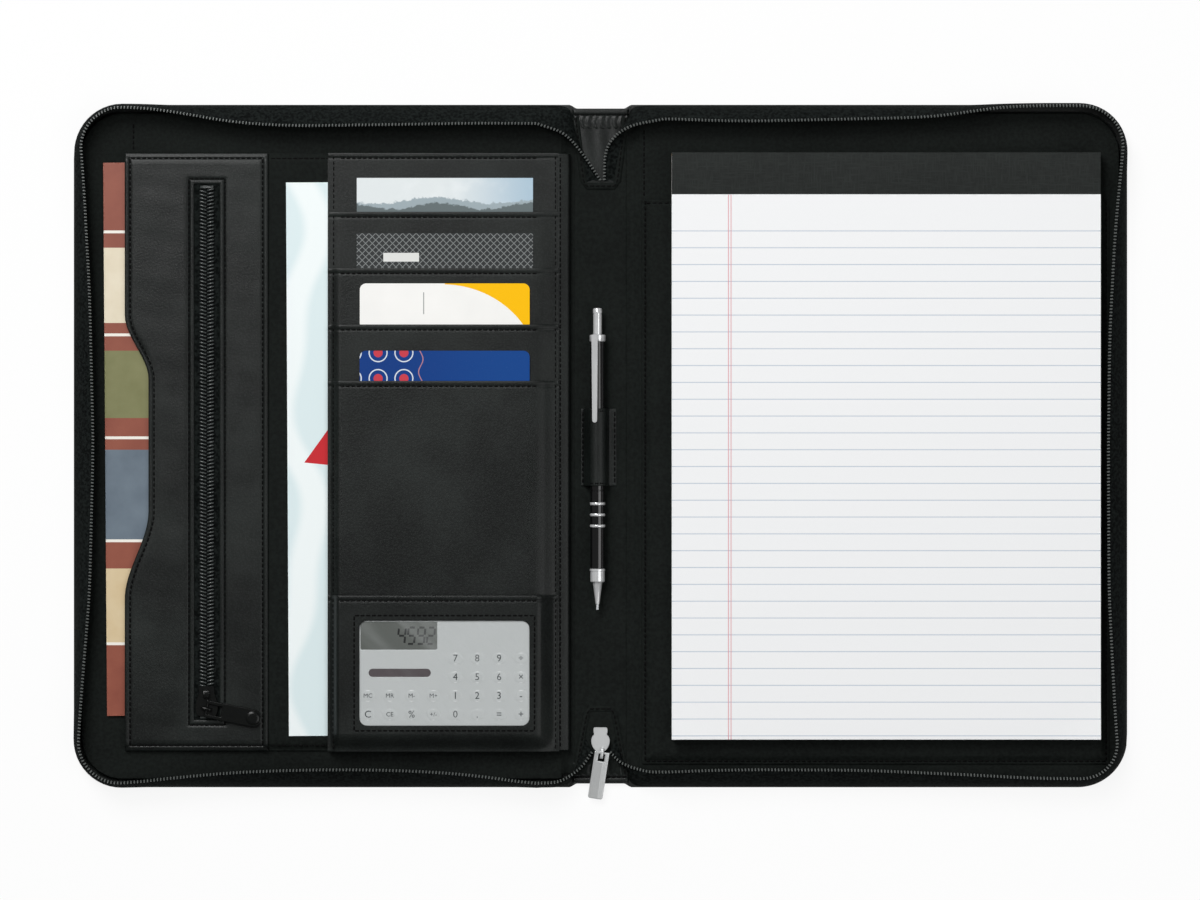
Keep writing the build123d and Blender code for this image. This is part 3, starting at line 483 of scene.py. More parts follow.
@dataclass
class Artwork:
    """A motif drawn about the middle of a sheet; each method gives the colours of one."""

    bench: Bench
    where: Wire
    x: Wire
    y: Wire

    def drawn(self, motif: Motif) -> Wire:
        """Colours of the chosen motif."""
        return getattr(self, motif.name.lower())()

    def sky(self) -> Wire:
        """Pale sky that turns blue to one side, thin clouds, and two ridges of soft hills."""
        bench, where, x, y = self.bench, self.where, self.x, self.y
        color = bench.mix(bench.soft(x, -6.0, 52.0), "#DDE3E4", "#A6BFD0")
        color = bench.mix(bench.soft(bench.noise(where, 16.0, 4.0), 0.5, 0.8) * 0.6, color, "#E9EEEF")
        trees = bench.noise(where, 2.2, 4.0) * 4.0
        for crest, period, tone in ((15.6, 61.0, "#9AA8AE"), (12.8, 47.0, "#606B6D")):
            hill = 1 - bench.soft(y + trees - bench.wave(x + period / 3, period) * 1.6, crest, crest + 0.8)
            color = bench.mix(hill, color, tone)
        return color

    def lattice(self) -> Wire:
        """Two sets of diagonal lines on slate, with a pale oblong."""
        bench, x, y = self.bench, self.x, self.y
        first = bench.wave(x + y, 3.4) > 0.88
        second = bench.wave(x - y, 3.4) > 0.88
        lines = bench.math("MAXIMUM", first, second)
        color = bench.mix(lines * 0.8, "#282B2C", "#868A8A")
        label = bench.band(x, -22.0, 18.0) * bench.band(y, 13.4, 4.4)
        return bench.mix(label, color, "#DCDDDA")

    def corner(self) -> Wire:
        """White stock, a yellow corner cut by a long arc, and a thin upright line."""
        bench, where, x, y = self.bench, self.where, self.x, self.y
        color = bench.mix(bench.noise(where, 20.0), "#ECECE9", "#F8F7F4")
        off_x = x + 1.0
        off_y = y + 20.0
        arc = bench.math("SQRT", off_x * off_x * 0.9 + off_y * off_y)
        color = bench.mix((arc > 46.5) * (x > 0.0), color, "#FABE00")
        line = bench.band(x, -10.6, 0.45) * bench.band(y, 17.0, 11.0)
        return bench.mix(line, color, "#8D9090")

    def dots(self) -> Wire:
        """Deep blue with two rows of ringed red spots at one end and a wavy line beside them."""
        bench, x, y = self.bench, self.x, self.y
        color = bench.mix(bench.soft(x, -30.0, 34.0), "#0E3A80", "#134489")
        off_x = (bench.math("FRACT", (x + 40.0) / 13.0) - 0.5) * 13.0
        off_y = (bench.math("FRACT", (y + 6.5) / 13.0) - 0.5) * 13.0
        near = bench.math("SQRT", off_x * off_x + off_y * off_y)
        here = x < -14.0
        color = bench.mix(bench.band(near, 4.5, 0.6) * here * 0.9, color, "#DFE7EE")
        color = bench.mix((near < 2.3) * here, color, "#C63F4C")
        wavy = bench.band(x + bench.wave(y, 13.0) * 1.1, -12.0, 0.5)
        return bench.mix(wavy * 0.8, color, "#C98C8C")

    def bands(self) -> Wire:
        """Very pale blue with slow white waves, and one red wedge that points to the left."""
        bench, x, y = self.bench, self.x, self.y
        sway = bench.wave(y, 150.0) * 8.0 + bench.wave(y, 67.0) * 3.0
        color = bench.mix(bench.soft(bench.wave(x + sway, 34.0), -0.3, 0.8), "#D9E8EA", "#EEF5F5")
        wedge = (abs(y + 2.0 - (x + 56.0) * 0.65) < (x + 56.0) * 0.75) * (x < -30.0)
        return bench.mix(wedge, color, "#C4262E")

    def blocks(self) -> Wire:
        """Oblongs of brick red, cream, olive and slate, one above the other, with soft tone inside each."""
        bench, where, y = self.bench, self.where, self.y
        tone = bench.noise(where, 11.0, 3.0)
        color = bench.mix(tone, "#7E4438", "#9A5B49")
        for low, high, first, second in (
                (58.0, 96.0, "#D8CBB0", "#E9E0CB"), (10.0, 44.0, "#6E6F48", "#868660"),
                (-52.0, -6.0, "#5A6672", "#74818C"), (-104.0, -66.0, "#CDB58C", "#DCCBA9")):
            block = bench.band(y, (low + high) / 2, high - low)
            color = bench.mix(block, color, bench.mix(tone, first, second))
        gutter = bench.math("PINGPONG", y, 26.0) < 0.7
        return bench.mix(gutter, color, "#EFEBE2")


@dataclass(frozen=True)
class Print(Finish):
    """A printed sheet or card: one motif on smooth stock."""

    motif: Motif
    middle: Pair
    gloss: float = 0.4

    def wire(self, bench: Bench) -> Material:
        """Draws the motif about the middle of the sheet, with a faint unevenness of the stock."""
        where = bench.place()
        x, y, _ = bench.axes(where)
        color = Artwork(bench, where, x - self.middle[0], y - self.middle[1]).drawn(self.motif)
        stock = bench.noise(where, 0.8, 3.0)
        return bench.finish(color, self.gloss + (stock - 0.5) * 0.12, stock, 0.006, Specular_IOR_Level=0.25)


@dataclass(frozen=True)
class Studio(Finish):
    """Pale floor that the camera sees nearly white, and that still takes the object's shadow."""

    color: Color
    glow: float

    def wire(self, bench: Bench) -> Material:
        """Mixes a white glow into the floor for camera, glossy and transmission rays only."""
        seen, glossy, through = (bench.node("LightPath", output=f"Is {ray} Ray")
                                 for ray in ("Camera", "Glossy", "Transmission"))
        shown = bench.math("MINIMUM", seen + glossy + through, 1.0)
        grain = bench.noise(bench.place(), 2.0)
        bench.finish(bench.mix(grain, linear(self.color, 0.985), self.color), 0.9)
        white = bench.node("Emission", inputs={"Color": (1.0, 1.0, 1.0, 1.0), "Strength": 1.0})
        base = Wire(bench, bench.shader.outputs[0])
        mixed = bench.node("MixShader", inputs={0: shown * self.glow, 1: base, 2: white})
        bench.feed(bench.output.inputs["Surface"], mixed)
        return bench.material


COVER_LEATHER = Leather("cover_leather", "#0D100F", "#212523", grain=1.2)
INNER_LEATHER = Leather("inner_leather", "#0B0E0D", "#202523", grain=0.95, roughness=0.4, shine=0.25)
LINING = LiningCloth("lining_cloth", "#060807", "#1E2220")
TAPE = ZipTape("zipper_tape", "#020303", "#1F2322")
# The coil is black plastic; its mid grey colour is a painted highlight on the coil turns.
COIL_PAINTED_HIGHLIGHT = Plastic("coil_plastic", "#5E6260", 0.28, variation=0.2)
ZIP_COIL = Plastic("zip_coil_plastic", "#343837", 0.25, variation=0.3)
THREAD = Plastic("black_thread", "#030303", 0.7, variation=0.3, shine=0.1)
CHROME = Metal("bright_plate", "#F0F1F2", 0.14, metallic=0.5)
SATIN = Metal("satin_plate", "#DADCDC", 0.32, metallic=0.45)
BLACK_ENAMEL = Plastic("black_enamel", "#090B0A", 0.25, variation=0.2, shine=0.25)
PEN_LACQUER = Plastic("pen_lacquer", "#0B0B0C", 0.12, variation=0.15, coat=0.6)
PAPER_WHITE = "#F3F4F5"
BLOCK_PAPER = PlainPaper("pad_block_paper", PAPER_WHITE, sheet=0.4)
CHIPBOARD = PlainPaper("chipboard", "#8C7A60")
HEADER_CLOTH = BookCloth("header_cloth", "#131615", "#282C2A")
FILM = ClearFilm("window_film", "#E8ECEC")
CALC_SILVER = Plastic("calculator_silver", "#B6BABA", 0.36, variation=0.05, speck=0.3)
# The key rims are coloured lighter than the silver face: a painted highlight on the raised rims.
KEY_RIM_PAINTED_HIGHLIGHT = Plastic("key_rim", "#E2E4E4", 0.3, variation=0.05)
CALC_LCD = Plastic("calculator_lcd", "#525652", 0.25, variation=0.1, coat=0.2)
CALC_SOLAR = Plastic("calculator_solar", "#4A4245", 0.18, variation=0.25, coat=0.4, speck=2.4)
LAMINATE = Plastic("circuit_laminate", "#2C6B45", 0.4)
LEGEND_INK = Plastic("legend_ink", "#23292D", 0.6, shine=0.2)
DISPLAY_INK = Plastic("display_ink", "#050706", 0.6, shine=0.1)
SPRING_WIRE = Metal("spring_wire", "#A9ABAE", 0.3)
REFILL = Plastic("refill_tube", "#C5C8CB", 0.35)


@dataclass
class Surface:
    """Vertices, faces of four corners, and each vertex's place on a flat map, all in millimetres."""

    points: Array
    quads: Array
    chart: Array

    def __add__(self, other: "Surface") -> "Surface":
        """Both surfaces as one."""
        shifted = other.quads + len(self.points)
        return Surface(np.vstack([self.points, other.points]), np.vstack([self.quads, shifted]),
                       np.vstack([self.chart, other.chart]))


def joined(surfaces: Sequence[Surface]) -> Surface:
    """Several surfaces as one."""
    return functools.reduce(Surface.__add__, surfaces)


def grid_quads(rows: int, cols: int, wrap: bool = False) -> Array:
    """Faces of a grid of vertices.

    Args:
        rows: Vertices along the first parameter.
        cols: Vertices along the second parameter.
        wrap: Whether the last column joins the first.

    Returns:
        One row of four vertex numbers for each cell.
    """
    i, j = np.meshgrid(np.arange(rows - 1), np.arange(cols if wrap else cols - 1), indexing="ij")
    k = (j + 1) % cols
    corners = [i * cols + j, (i + 1) * cols + j, (i + 1) * cols + k, i * cols + k]
    return np.stack(corners, axis=-1).reshape(-1, 4)


def patch(points: Array, chart: Optional[Array] = None, wrap: bool = False) -> Surface:
    """Surface through a grid of points; its map is (x, y) unless another is given."""
    rows, cols = points.shape[:2]
    flat = points[..., :2] if chart is None else chart
    return Surface(points.reshape(-1, 3), grid_quads(rows, cols, wrap), flat.reshape(-1, 2))


def pillow(x: Array, y: Array, low: Array, high: Array, keep: Optional[Array] = None,
           chart: Optional[Array] = None) -> Surface:
    """Closed sheet between two heights over one grid of places; its rim closes where the heights meet.

    Args:
        x: Grid of X places.
        y: Grid of Y places.
        low: Height of the underside.
        high: Height of the upper side.
        keep: Mask of the cells that exist, for sheets with a slot.
        chart: Flat map, (x, y) if left out.

    Returns:
        The closed sheet.
    """
    upper = patch(np.stack([x, y, high], axis=-1), chart)
    lower = patch(np.stack([x, y, low], axis=-1), chart)
    if keep is not None:
        upper.quads = upper.quads[keep.ravel()]
        lower.quads = lower.quads[keep.ravel()]
    lower.quads = lower.quads[:, ::-1]
    return upper + lower


def unit(vectors: Array) -> Array:
    """Vectors of length one in the same directions."""
    return vectors / np.linalg.norm(vectors, axis=-1, keepdims=True)


def circle(sides: int) -> tuple[Array, Array]:
    """Cosines and sines of even steps round a circle."""
    turn = np.linspace(0, 2 * math.pi, sides, endpoint=False)
    return np.cos(turn), np.sin(turn)


def turned(u: Array, v: Array, degrees: float) -> tuple[Array, Array]:
    """Places turned about the origin."""
    c, s = math.cos(math.radians(degrees)), math.sin(math.radians(degrees))
    return u * c - v * s, u * s + v * c


def raised(flat: Array, z: float) -> Array:
    """Flat points, all at one height."""
    return np.column_stack([flat, np.full(len(flat), z)])


def run_along(path: Array) -> Array:
    """Length of a path up to each of its points."""
    return np.concatenate([[0.0], np.cumsum(np.linalg.norm(np.diff(path, axis=0), axis=1))])


def walked(path: Array, at: Array) -> Array:
    """Points of a path at lengths along it."""
    return np.stack([np.interp(at, run_along(path), values) for values in path.T], axis=-1)


def evened(path: Array, count: int = 48) -> Array:
    """The same path with evenly spaced points, its ends kept."""
    return walked(path, np.linspace(0, run_along(path)[-1], count))


def smooth(value: Array, low: float, high: float) -> Array:
    """Share that rises from 0 at low to 1 at high with level ends."""
    share = np.clip((value - low) / (high - low), 0.0, 1.0)
    return share * share * (3 - 2 * share)


def rolled(distance: Array, radius: float) -> Array:
    """Share of the full thickness at a distance from a rolled edge: a quarter circle from 0 to 1."""
    inward = np.clip(distance / radius, 0.0, 1.0)
    return np.sqrt(1 - (1 - inward) ** 2)


def leaf(x: Array, y: Array, edge: Array, heights: Sequence[Height], roll: float,
         relief: Height = 0.0, keep: Optional[Array] = None) -> Surface:
    """Flat sheet with rolled edges.

    Args:
        x: Grid of X places.
        y: Grid of Y places.
        edge: Distance from the nearest edge.
        heights: Underside and upper side.
        roll: Radius of the edges.
        relief: Height added to the upper side.
        keep: Mask of the cells that exist.

    Returns:
        The closed sheet.
    """
    middle = (heights[0] + heights[1]) / 2
    half = (heights[1] - heights[0]) / 2 * rolled(edge, roll)
    return pillow(x, y, middle - half, middle + half + relief, keep)


def furrow(distance: Array, inset: float, width: float = 0.6) -> Array:
    """Depth share of a sewn line at an inset from an edge: a bell curve of the distance."""
    return np.exp(-((distance - inset) / width) ** 2)


def ripple(x: Array, y: Array, length: float, seed: float = 0.0) -> Array:
    """Gentle unevenness: four plane waves of unlike lengths and directions, added.

    Args:
        x: X places.
        y: Y places.
        length: Length of the first wave.
        seed: Turns the waves and shifts them.

    Returns:
        Values from -1 to 1.
    """
    total = np.zeros(np.broadcast(x, y).shape)
    for k, (stretch, turn) in enumerate(((1.0, 0.3), (1.37, 1.45), (0.71, 2.3), (0.53, 0.9))):
        phase = (x * math.cos(turn + seed) + y * math.sin(turn + seed)) * 2 * math.pi / (length * stretch)
        total += np.sin(phase + seed * (k + 1) * 2.1) / 4
    return total


EDGE_STEPS = np.array([0.0, 0.07, 0.25, 0.6, 1.0, 1.5, 2.0, 2.4, 2.8, 3.3, 4.2, 6.0])


def spaced(low: float, high: float, step: float = 4.0, marks: Sequence[float] = ()) -> Array:
    """Grid lines between two edges.

    Args:
        low: First edge.
        high: Last edge.
        step: Distance between lines elsewhere.
        marks: Places that need close lines, as the edges do.

    Returns:
        The places of the lines, in order.
    """
    lines = [np.linspace(low, high, max(int((high - low) / step), 2) + 1)]
    for mark in (low, high, *marks):
        lines += [mark + EDGE_STEPS, mark - EDGE_STEPS]
    found = np.unique(np.round(np.concatenate(lines), 4))
    return found[(found >= low - 1e-6) & (found <= high + 1e-6)]


def tube(path: Array, radius: Union[float, Array], sides: int = 8, flat: float = 1.0) -> Surface:
    """Round bar carried along a path, closed at both ends.

    Args:
        path: Points along the middle of the bar.
        radius: Radius, one for all or one for each point.
        sides: Corners of the section.
        flat: Height of the section as a share of its width.

    Returns:
        The bar: each point's circle lies square to the path.
    """
    ahead = unit(np.gradient(path, axis=0))
    side = np.cross(ahead, (0.0, 0.0, 1.0))
    steep = np.linalg.norm(side, axis=1, keepdims=True) < 1e-3
    side = unit(np.where(steep, np.array([1.0, 0.0, 0.0]), side))
    up = np.cross(side, ahead)
    c, s = circle(sides)
    reach = np.broadcast_to(np.asarray(radius, dtype=float), (len(path),))[:, None, None]
    ring = side[:, None] * c[None, :, None] + up[:, None] * s[None, :, None] * flat
    rows = path[:, None] + ring * reach
    first = np.broadcast_to(path[:1, None], (1, sides, 3))
    last = np.broadcast_to(path[-1:, None], (1, sides, 3))
    return patch(np.concatenate([first, rows, last]), wrap=True)


def lathe(profile: Sequence[Pair], middle: Pair, sides: int = 40) -> Surface:
    """Round body about a line along Y.

    Args:
        profile: Pairs of place along Y and radius, starting and ending at radius 0.
        middle: X and Z of the line.
        sides: Corners of each circle.

    Returns:
        Each pair's circle, joined to the next.
    """
    along, radius = np.array(profile, dtype=float).T
    c, s = circle(sides)
    x = middle[0] + radius[:, None] * c
    z = middle[1] + radius[:, None] * s
    y = np.broadcast_to(along[:, None], x.shape)
    return patch(np.stack([x, y, z], axis=-1), wrap=True)


def prism(outline: Array, z0: float, z1: float, bevel: float = 0.15, crown: float = 0.0) -> Surface:
    """Plate of one star-shaped outline with rounded upper and lower edges.

    Args:
        outline: Points (x, y) round the plate, counterclockwise.
        z0: Underside.
        z1: Upper side.
        bevel: Size of the rounded edges.
        crown: How much higher the middle of the upper side is.

    Returns:
        Rings from the middle of the underside out to the edge and back to the middle of the upper side.
    """
    middle = outline.mean(axis=0)
    inner = outline - unit(outline - middle) * bevel
    half = middle + (outline - middle) * 0.55
    spot = np.broadcast_to(middle, outline.shape)
    levels = [(spot, z0), (inner, z0), (outline, z0 + bevel), (outline, z1 - bevel), (inner, z1),
              (half, z1 + crown * 0.7), (spot, z1 + crown)]
    return patch(np.stack([raised(ring, z) for ring, z in levels]), wrap=True)


def resampled(path: Array, spacing: float) -> tuple[Array, Array]:
    """Points at equal steps along a path.

    Args:
        path: Points of the path.
        spacing: Wished distance between the new points.

    Returns:
        The new points and the unit directions of the path there.
    """
    length = run_along(path)[-1]
    count = max(int(round(length / spacing)), 1)
    at = (np.arange(count) + 0.5) * length / count
    before, after = (walked(path, np.clip(at + step, 0, length)) for step in (-spacing / 4, spacing / 4))
    return walked(path, at), unit(after - before)


def strewn(template: Surface, places: Array, ahead: Array, up: Array) -> Surface:
    """Copies of a small surface.

    Args:
        template: The surface to copy.
        places: Middle of each copy.
        ahead: Direction of each copy's X.
        up: Direction that each copy's Z comes near to.

    Returns:
        All the copies as one.
    """
    side = unit(np.cross(np.broadcast_to(up, ahead.shape), ahead))
    top = np.cross(ahead, side)
    p = template.points
    points = (places[:, None] + ahead[:, None] * p[None, :, :1] + side[:, None] * p[None, :, 1:2]
              + top[:, None] * p[None, :, 2:3])
    shift = np.arange(len(places))[:, None, None] * len(p)
    quads = (template.quads[None] + shift).reshape(-1, 4)
    chart = np.tile(template.chart, (len(places), 1))
    return Surface(points.reshape(-1, 3), quads, chart)


def bead(length: float, width: float, height: float, sides: int = 6) -> Surface:
    """Small rounded grain along X: a short tube with pointed ends.

    Args:
        length: Length over the points.
        width: Size along Y.
        height: Size along Z.
        sides: Corners of the section.

    Returns:
        The grain about the origin.
    """
    reach = np.array([-0.5, -0.36, 0.36, 0.5]) * length
    swell = np.array([0.0, 1.0, 1.0, 0.0])
    c, s = circle(sides)
    x = np.broadcast_to(reach[:, None], (len(reach), sides))
    y = swell[:, None] * c * width / 2
    z = swell[:, None] * s * height / 2
    return patch(np.stack([x, y, z], axis=-1), wrap=True)


STITCH_PITCH = 2.8
STITCH = bead(2.2, 0.8, 0.5)


def stitches(path: Sequence[Spot], up: Array = UP) -> Surface:
    """Row of stitches along a path of points."""
    return strewn(STITCH, *resampled(np.array(path, dtype=float), STITCH_PITCH), up)


def stitched_box(low: Sequence[float], high: Sequence[float], z: float) -> Surface:
    """Rows of stitches along the four sides of an oblong."""
    corners = [(low[0], low[1], z), (high[0], low[1], z), (high[0], high[1], z), (low[0], high[1], z)]
    return joined([stitches([corners[k - 1], corners[k]]) for k in range(4)])


def mirrored(surface: Surface) -> Surface:
    """The same surface on the other side of the spine, its faces turned to point outwards again."""
    flip = np.array([-1.0, 1.0, 1.0])
    return Surface(surface.points * flip, surface.quads[:, ::-1], surface.chart)


def on_side(surface: Surface, side: int) -> Surface:
    """A surface worked out for the right half, given for the right (1) or the left (-1)."""
    return surface if side > 0 else mirrored(surface)


def spline(points: Sequence[Sequence[float]], count: int = 24) -> Array:
    """Smooth curve: between two points, a cubic with the slopes of their neighbours' chords.

    Args:
        points: Points to pass through.
        count: New points for each step between two of them.

    Returns:
        Points of the curve.
    """
    p = np.array(points, dtype=float)
    p = np.vstack([2 * p[0] - p[1], p, 2 * p[-1] - p[-2]])
    t = np.linspace(0, 1, count, endpoint=False)[:, None]
    a, b, c, d = (p[k:len(p) - 3 + k, None] for k in range(4))
    bend = (2 * a - 5 * b + 4 * c - d) * t ** 2 + (3 * b - a - 3 * c + d) * t ** 3
    run = 0.5 * (2 * b + (c - a) * t + bend)
    return np.vstack([run.reshape(-1, p.shape[1]), p[-2]])


@dataclass(frozen=True)
class Extent:
    """Lowest and highest corners of a solid, in millimetres."""

    low: Array
    high: Array

    @classmethod
    def of(cls, node: str) -> "Extent":
        """Extent of one of the part's solids."""
        low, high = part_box(node)
        return cls(np.round(np.array(low) / MM, 3), np.round(np.array(high) / MM, 3))

    @property
    def middle(self) -> Array:
        """Middle of the box."""
        return (self.low + self.high) / 2

    @property
    def size(self) -> Array:
        """Length of the box each way."""
        return self.high - self.low

    @property
    def heights(self) -> Pair:
        """Underside and upper side."""
        return (self.low[2], self.high[2])


def solid(node: str) -> Extent:
    """Field of a class that holds the extent of one of the part's solids."""
    return field(default_factory=lambda: Extent.of(node))


@dataclass(frozen=True)
class Bend:
    """Two bodies that a fold joins, one before start and the other after end, given for a soft piece across
    the fold.
    """

    first: str
    second: str
    start: Spot
    end: Spot


def make_object(name: str, surface: Surface, finish: Finish, sharp: float = 50.0) -> Piece:
    """Makes a surface a mesh object at the origin.

    Args:
        name: The piece's name.
        surface: Its vertices and faces.
        finish: Its finish.
        sharp: Edges that turn by more degrees than this stay sharp.

    Returns:
        The linked object, with its doubles merged and its faces pointing outwards.
    """
    used, order = np.unique(surface.quads, return_inverse=True)
    quads = order.reshape(-1, 4)
    mesh = bpy.data.meshes.new(name)
    mesh.vertices.add(len(used))
    mesh.vertices.foreach_set("co", (surface.points[used] * MM).astype(np.float32).ravel())
    mesh.loops.add(quads.size)
    mesh.loops.foreach_set("vertex_index", quads.astype(np.int32).ravel())
    mesh.polygons.add(len(quads))
    mesh.polygons.foreach_set("loop_start", np.arange(0, quads.size, 4, dtype=np.int32))
    mesh.update(calc_edges=True)
    layer = mesh.uv_layers.new(name="chart")
    layer.data.foreach_set("uv", surface.chart[used][quads].astype(np.float32).ravel())
    work = bmesh.new()
    work.from_mesh(mesh)
    bmesh.ops.remove_doubles(work, verts=work.verts, dist=1e-6)
    bmesh.ops.dissolve_degenerate(work, edges=work.edges, dist=1e-7)
    bmesh.ops.recalc_face_normals(work, faces=work.faces)
    work.to_mesh(mesh)
    work.free()
    mesh.polygons.foreach_set("use_smooth", np.ones(len(mesh.polygons), dtype=bool))
    mesh.set_sharp_from_angle(angle=math.radians(sharp))
    mesh.materials.append(finish.material())
    piece = bpy.data.objects.new(name, mesh)
    bpy.context.scene.collection.objects.link(piece)
    return piece


def place(name: str, surface: Surface, finish: Finish, slot: str, body: Union[str, Bend],
          stands_for: Sequence[str] = (), sharp: float = 50.0) -> Piece:
    """Makes a piece and ties it to the body that it rides on; a piece given a bend is only baked in place.

    Args:
        name: The piece's name.
        surface: Its shape.
        finish: Its finish.
        slot: Name of a material slot; not used.
        body: The body that it rides on, or a bend, which ties the piece to no body.
        stands_for: Solids that it is shown in place of.
        sharp: Edges that turn by more degrees than this stay sharp.

    Returns:
        The piece.
    """
    piece = make_object(name, surface, finish, sharp)
    if isinstance(body, Bend):
        start, end = (tuple(v * MM for v in spot) for spot in (body.start, body.end))
        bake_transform(piece)
        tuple(start)
        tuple(end)
    else:
        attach(piece, body)
    if stands_for:
        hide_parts(*stands_for)
    LOG.info("%s: %d faces", name, len(piece.data.polygons))
    return piece


def dress(node: str, finish: Finish) -> None:
    """Gives one of the part's own solids its finish.

    Args:
        node: The solid's node.
        finish: Its finish.
    """
    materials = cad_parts[node].data.materials
    materials.clear()
    materials.append(finish.material())
    LOG.info("%s: dressed", node)


@dataclass
class Cover:
    """One cover: its padded leather shell, its lining and the sewn line round its outside."""

    side: int
    name: str
    corner: float = 25.0
    skin_t: float = 0.8
    edge_roll: float = 0.7
    board_start: float = 4.0
    board_end: float = 6.0
    outer_seam: float = 5.5
    lining_inset: float = 4.5
    slack: Pair = (150.0, 160.0)
    tack: Spot = (22.0, 126.0, 160.0)
    skin: Extent = solid("right_cover_skin")
    lining: Extent = solid("right_lining")

    @property
    def body(self) -> str:
        """The body that the cover's pieces ride on."""
        return self.name + "_cover"

    def outline_grid(self, low: Array, high: Array, radius: float, step: float) -> Grid:
        """Grid over a cover-shaped layer of the right half.

        Each row is squeezed so that it ends on the outline, which is straight at the crease and has two
        round outer corners.

        Args:
            low: Lowest corner of the layer.
            high: Highest corner of the layer.
            radius: Radius of its outer corners.
            step: Distance between grid lines away from the edges.

        Returns:
            X and Y of the grid, and the distance of each point from the layer's edge.
        """
        shares = np.array([0.3, 0.6]) * radius
        lines_y = spaced(low[1], high[1], step, (*(low[1] + shares), *(high[1] - shares)))
        u, y = np.meshgrid(spaced(low[0], high[0], step), lines_y, indexing="ij")
        past = np.clip(np.abs(y) - (high[1] - radius), 0, radius)
        reach = high[0] - radius + np.sqrt(np.clip(radius ** 2 - past ** 2, 0, None))
        x = low[0] + (u - low[0]) * (reach - low[0]) / (high[0] - low[0])
        inside = np.minimum(high[0] - radius - x, high[1] - radius - np.abs(y))
        from_corner = radius - np.hypot(np.clip(x - (high[0] - radius), 0, None), past)
        edge = np.where(inside > 0, inside + radius, from_corner)
        return x, y, np.clip(np.minimum(edge, x - low[0]), 0, None)

    def edge_run(self, inset: float, start: float, step: float = 4.0) -> tuple[Array, Array]:
        """Line round the right cover, from the crease at the top to the crease at the bottom.

        Args:
            inset: Distance inside the outline.
            start: X at which the line starts and ends.
            step: Distance between points on the straight sides.

        Returns:
            Points (x, y) and outward directions.
        """
        centre = self.skin.high[:2] - self.corner
        turn = np.linspace(math.pi / 2, 0, 13)
        top_x = np.linspace(start, centre[0], int((centre[0] - start) / step), endpoint=False)
        side_y = np.linspace(centre[1], 0, int(centre[1] / step))[1:]
        out = np.vstack([np.tile([0.0, 1.0], (len(top_x), 1)), np.column_stack([np.cos(turn), np.sin(turn)]),
                         np.tile([1.0, 0.0], (len(side_y), 1))])
        root_x = np.concatenate([top_x, np.full(len(turn) + len(side_y), centre[0])])
        root_y = np.concatenate([np.full(len(top_x) + len(turn), centre[1]), side_y])
        upper = np.column_stack([root_x, root_y]) + out * (self.corner - inset)
        return tuple(np.vstack([half, (half * (1.0, -1.0))[-2::-1]]) for half in (upper, out))

    def shell(self) -> Surface:
        """Leather over padding and board: thin at the rim where the tape is sewn, thick over the board."""
        x, y, edge = self.outline_grid(self.skin.low, self.skin.high, self.corner, 9.0)
        roll = rolled(edge, self.edge_roll)
        over_board = smooth(edge, self.board_start, self.board_end)
        plump = self.skin_t + (self.lining.low[2] - self.skin_t) * over_board
        middle = self.skin_t / 2
        sewn = furrow(edge, self.outer_seam, 0.9) * 0.25
        return pillow(x, y, middle - middle * roll + sewn, middle + (plump - middle) * roll)

    def lining_sheet(self) -> Surface:
        """Lining cloth laid over the board, with slack ripples where nothing lies on it."""
        radius = self.corner - self.lining_inset
        x, y, edge = self.outline_grid(self.lining.low, self.lining.high, radius, 5.0)
        loose = smooth(np.abs(y), *self.slack) * smooth(edge, 0.5, 5.0)
        wave = (ripple(x, y, 34.0, 0.7) - 1) * 0.15 * loose
        return leaf(x, y, edge, self.lining.heights, 0.4, wave)

    def build(self) -> None:
        """Makes the shell, its outside seam and the lining."""
        layers = [self.body + part for part in ("_skin", "_foam", "_board")]
        shell = place(self.body + "_shell", on_side(self.shell(), self.side), COVER_LEATHER, "cover_leather",
                      self.body, layers)
        line, _ = self.edge_run(self.outer_seam, self.skin.low[0] + 4.0)
        seam = on_side(stitches(raised(line, 0.2), -UP), self.side)
        place(self.body + "_outer_stitches", seam, THREAD, "cover_leather", self.body)
        lining = on_side(self.lining_sheet(), self.side)
        cloth = place(self.name + "_lining_cloth", lining, LINING, "lining_cloth", self.body,
                      [self.name + "_lining"])
        self.lining.size
        x, y0, y1 = self.tack
        z = self.lining.high[2]
        tack = stitches([(x, y0, z), (x, y1, z)])
        place(self.name + "_lining_stitches", on_side(tack, self.side), THREAD, "lining_cloth", self.body)


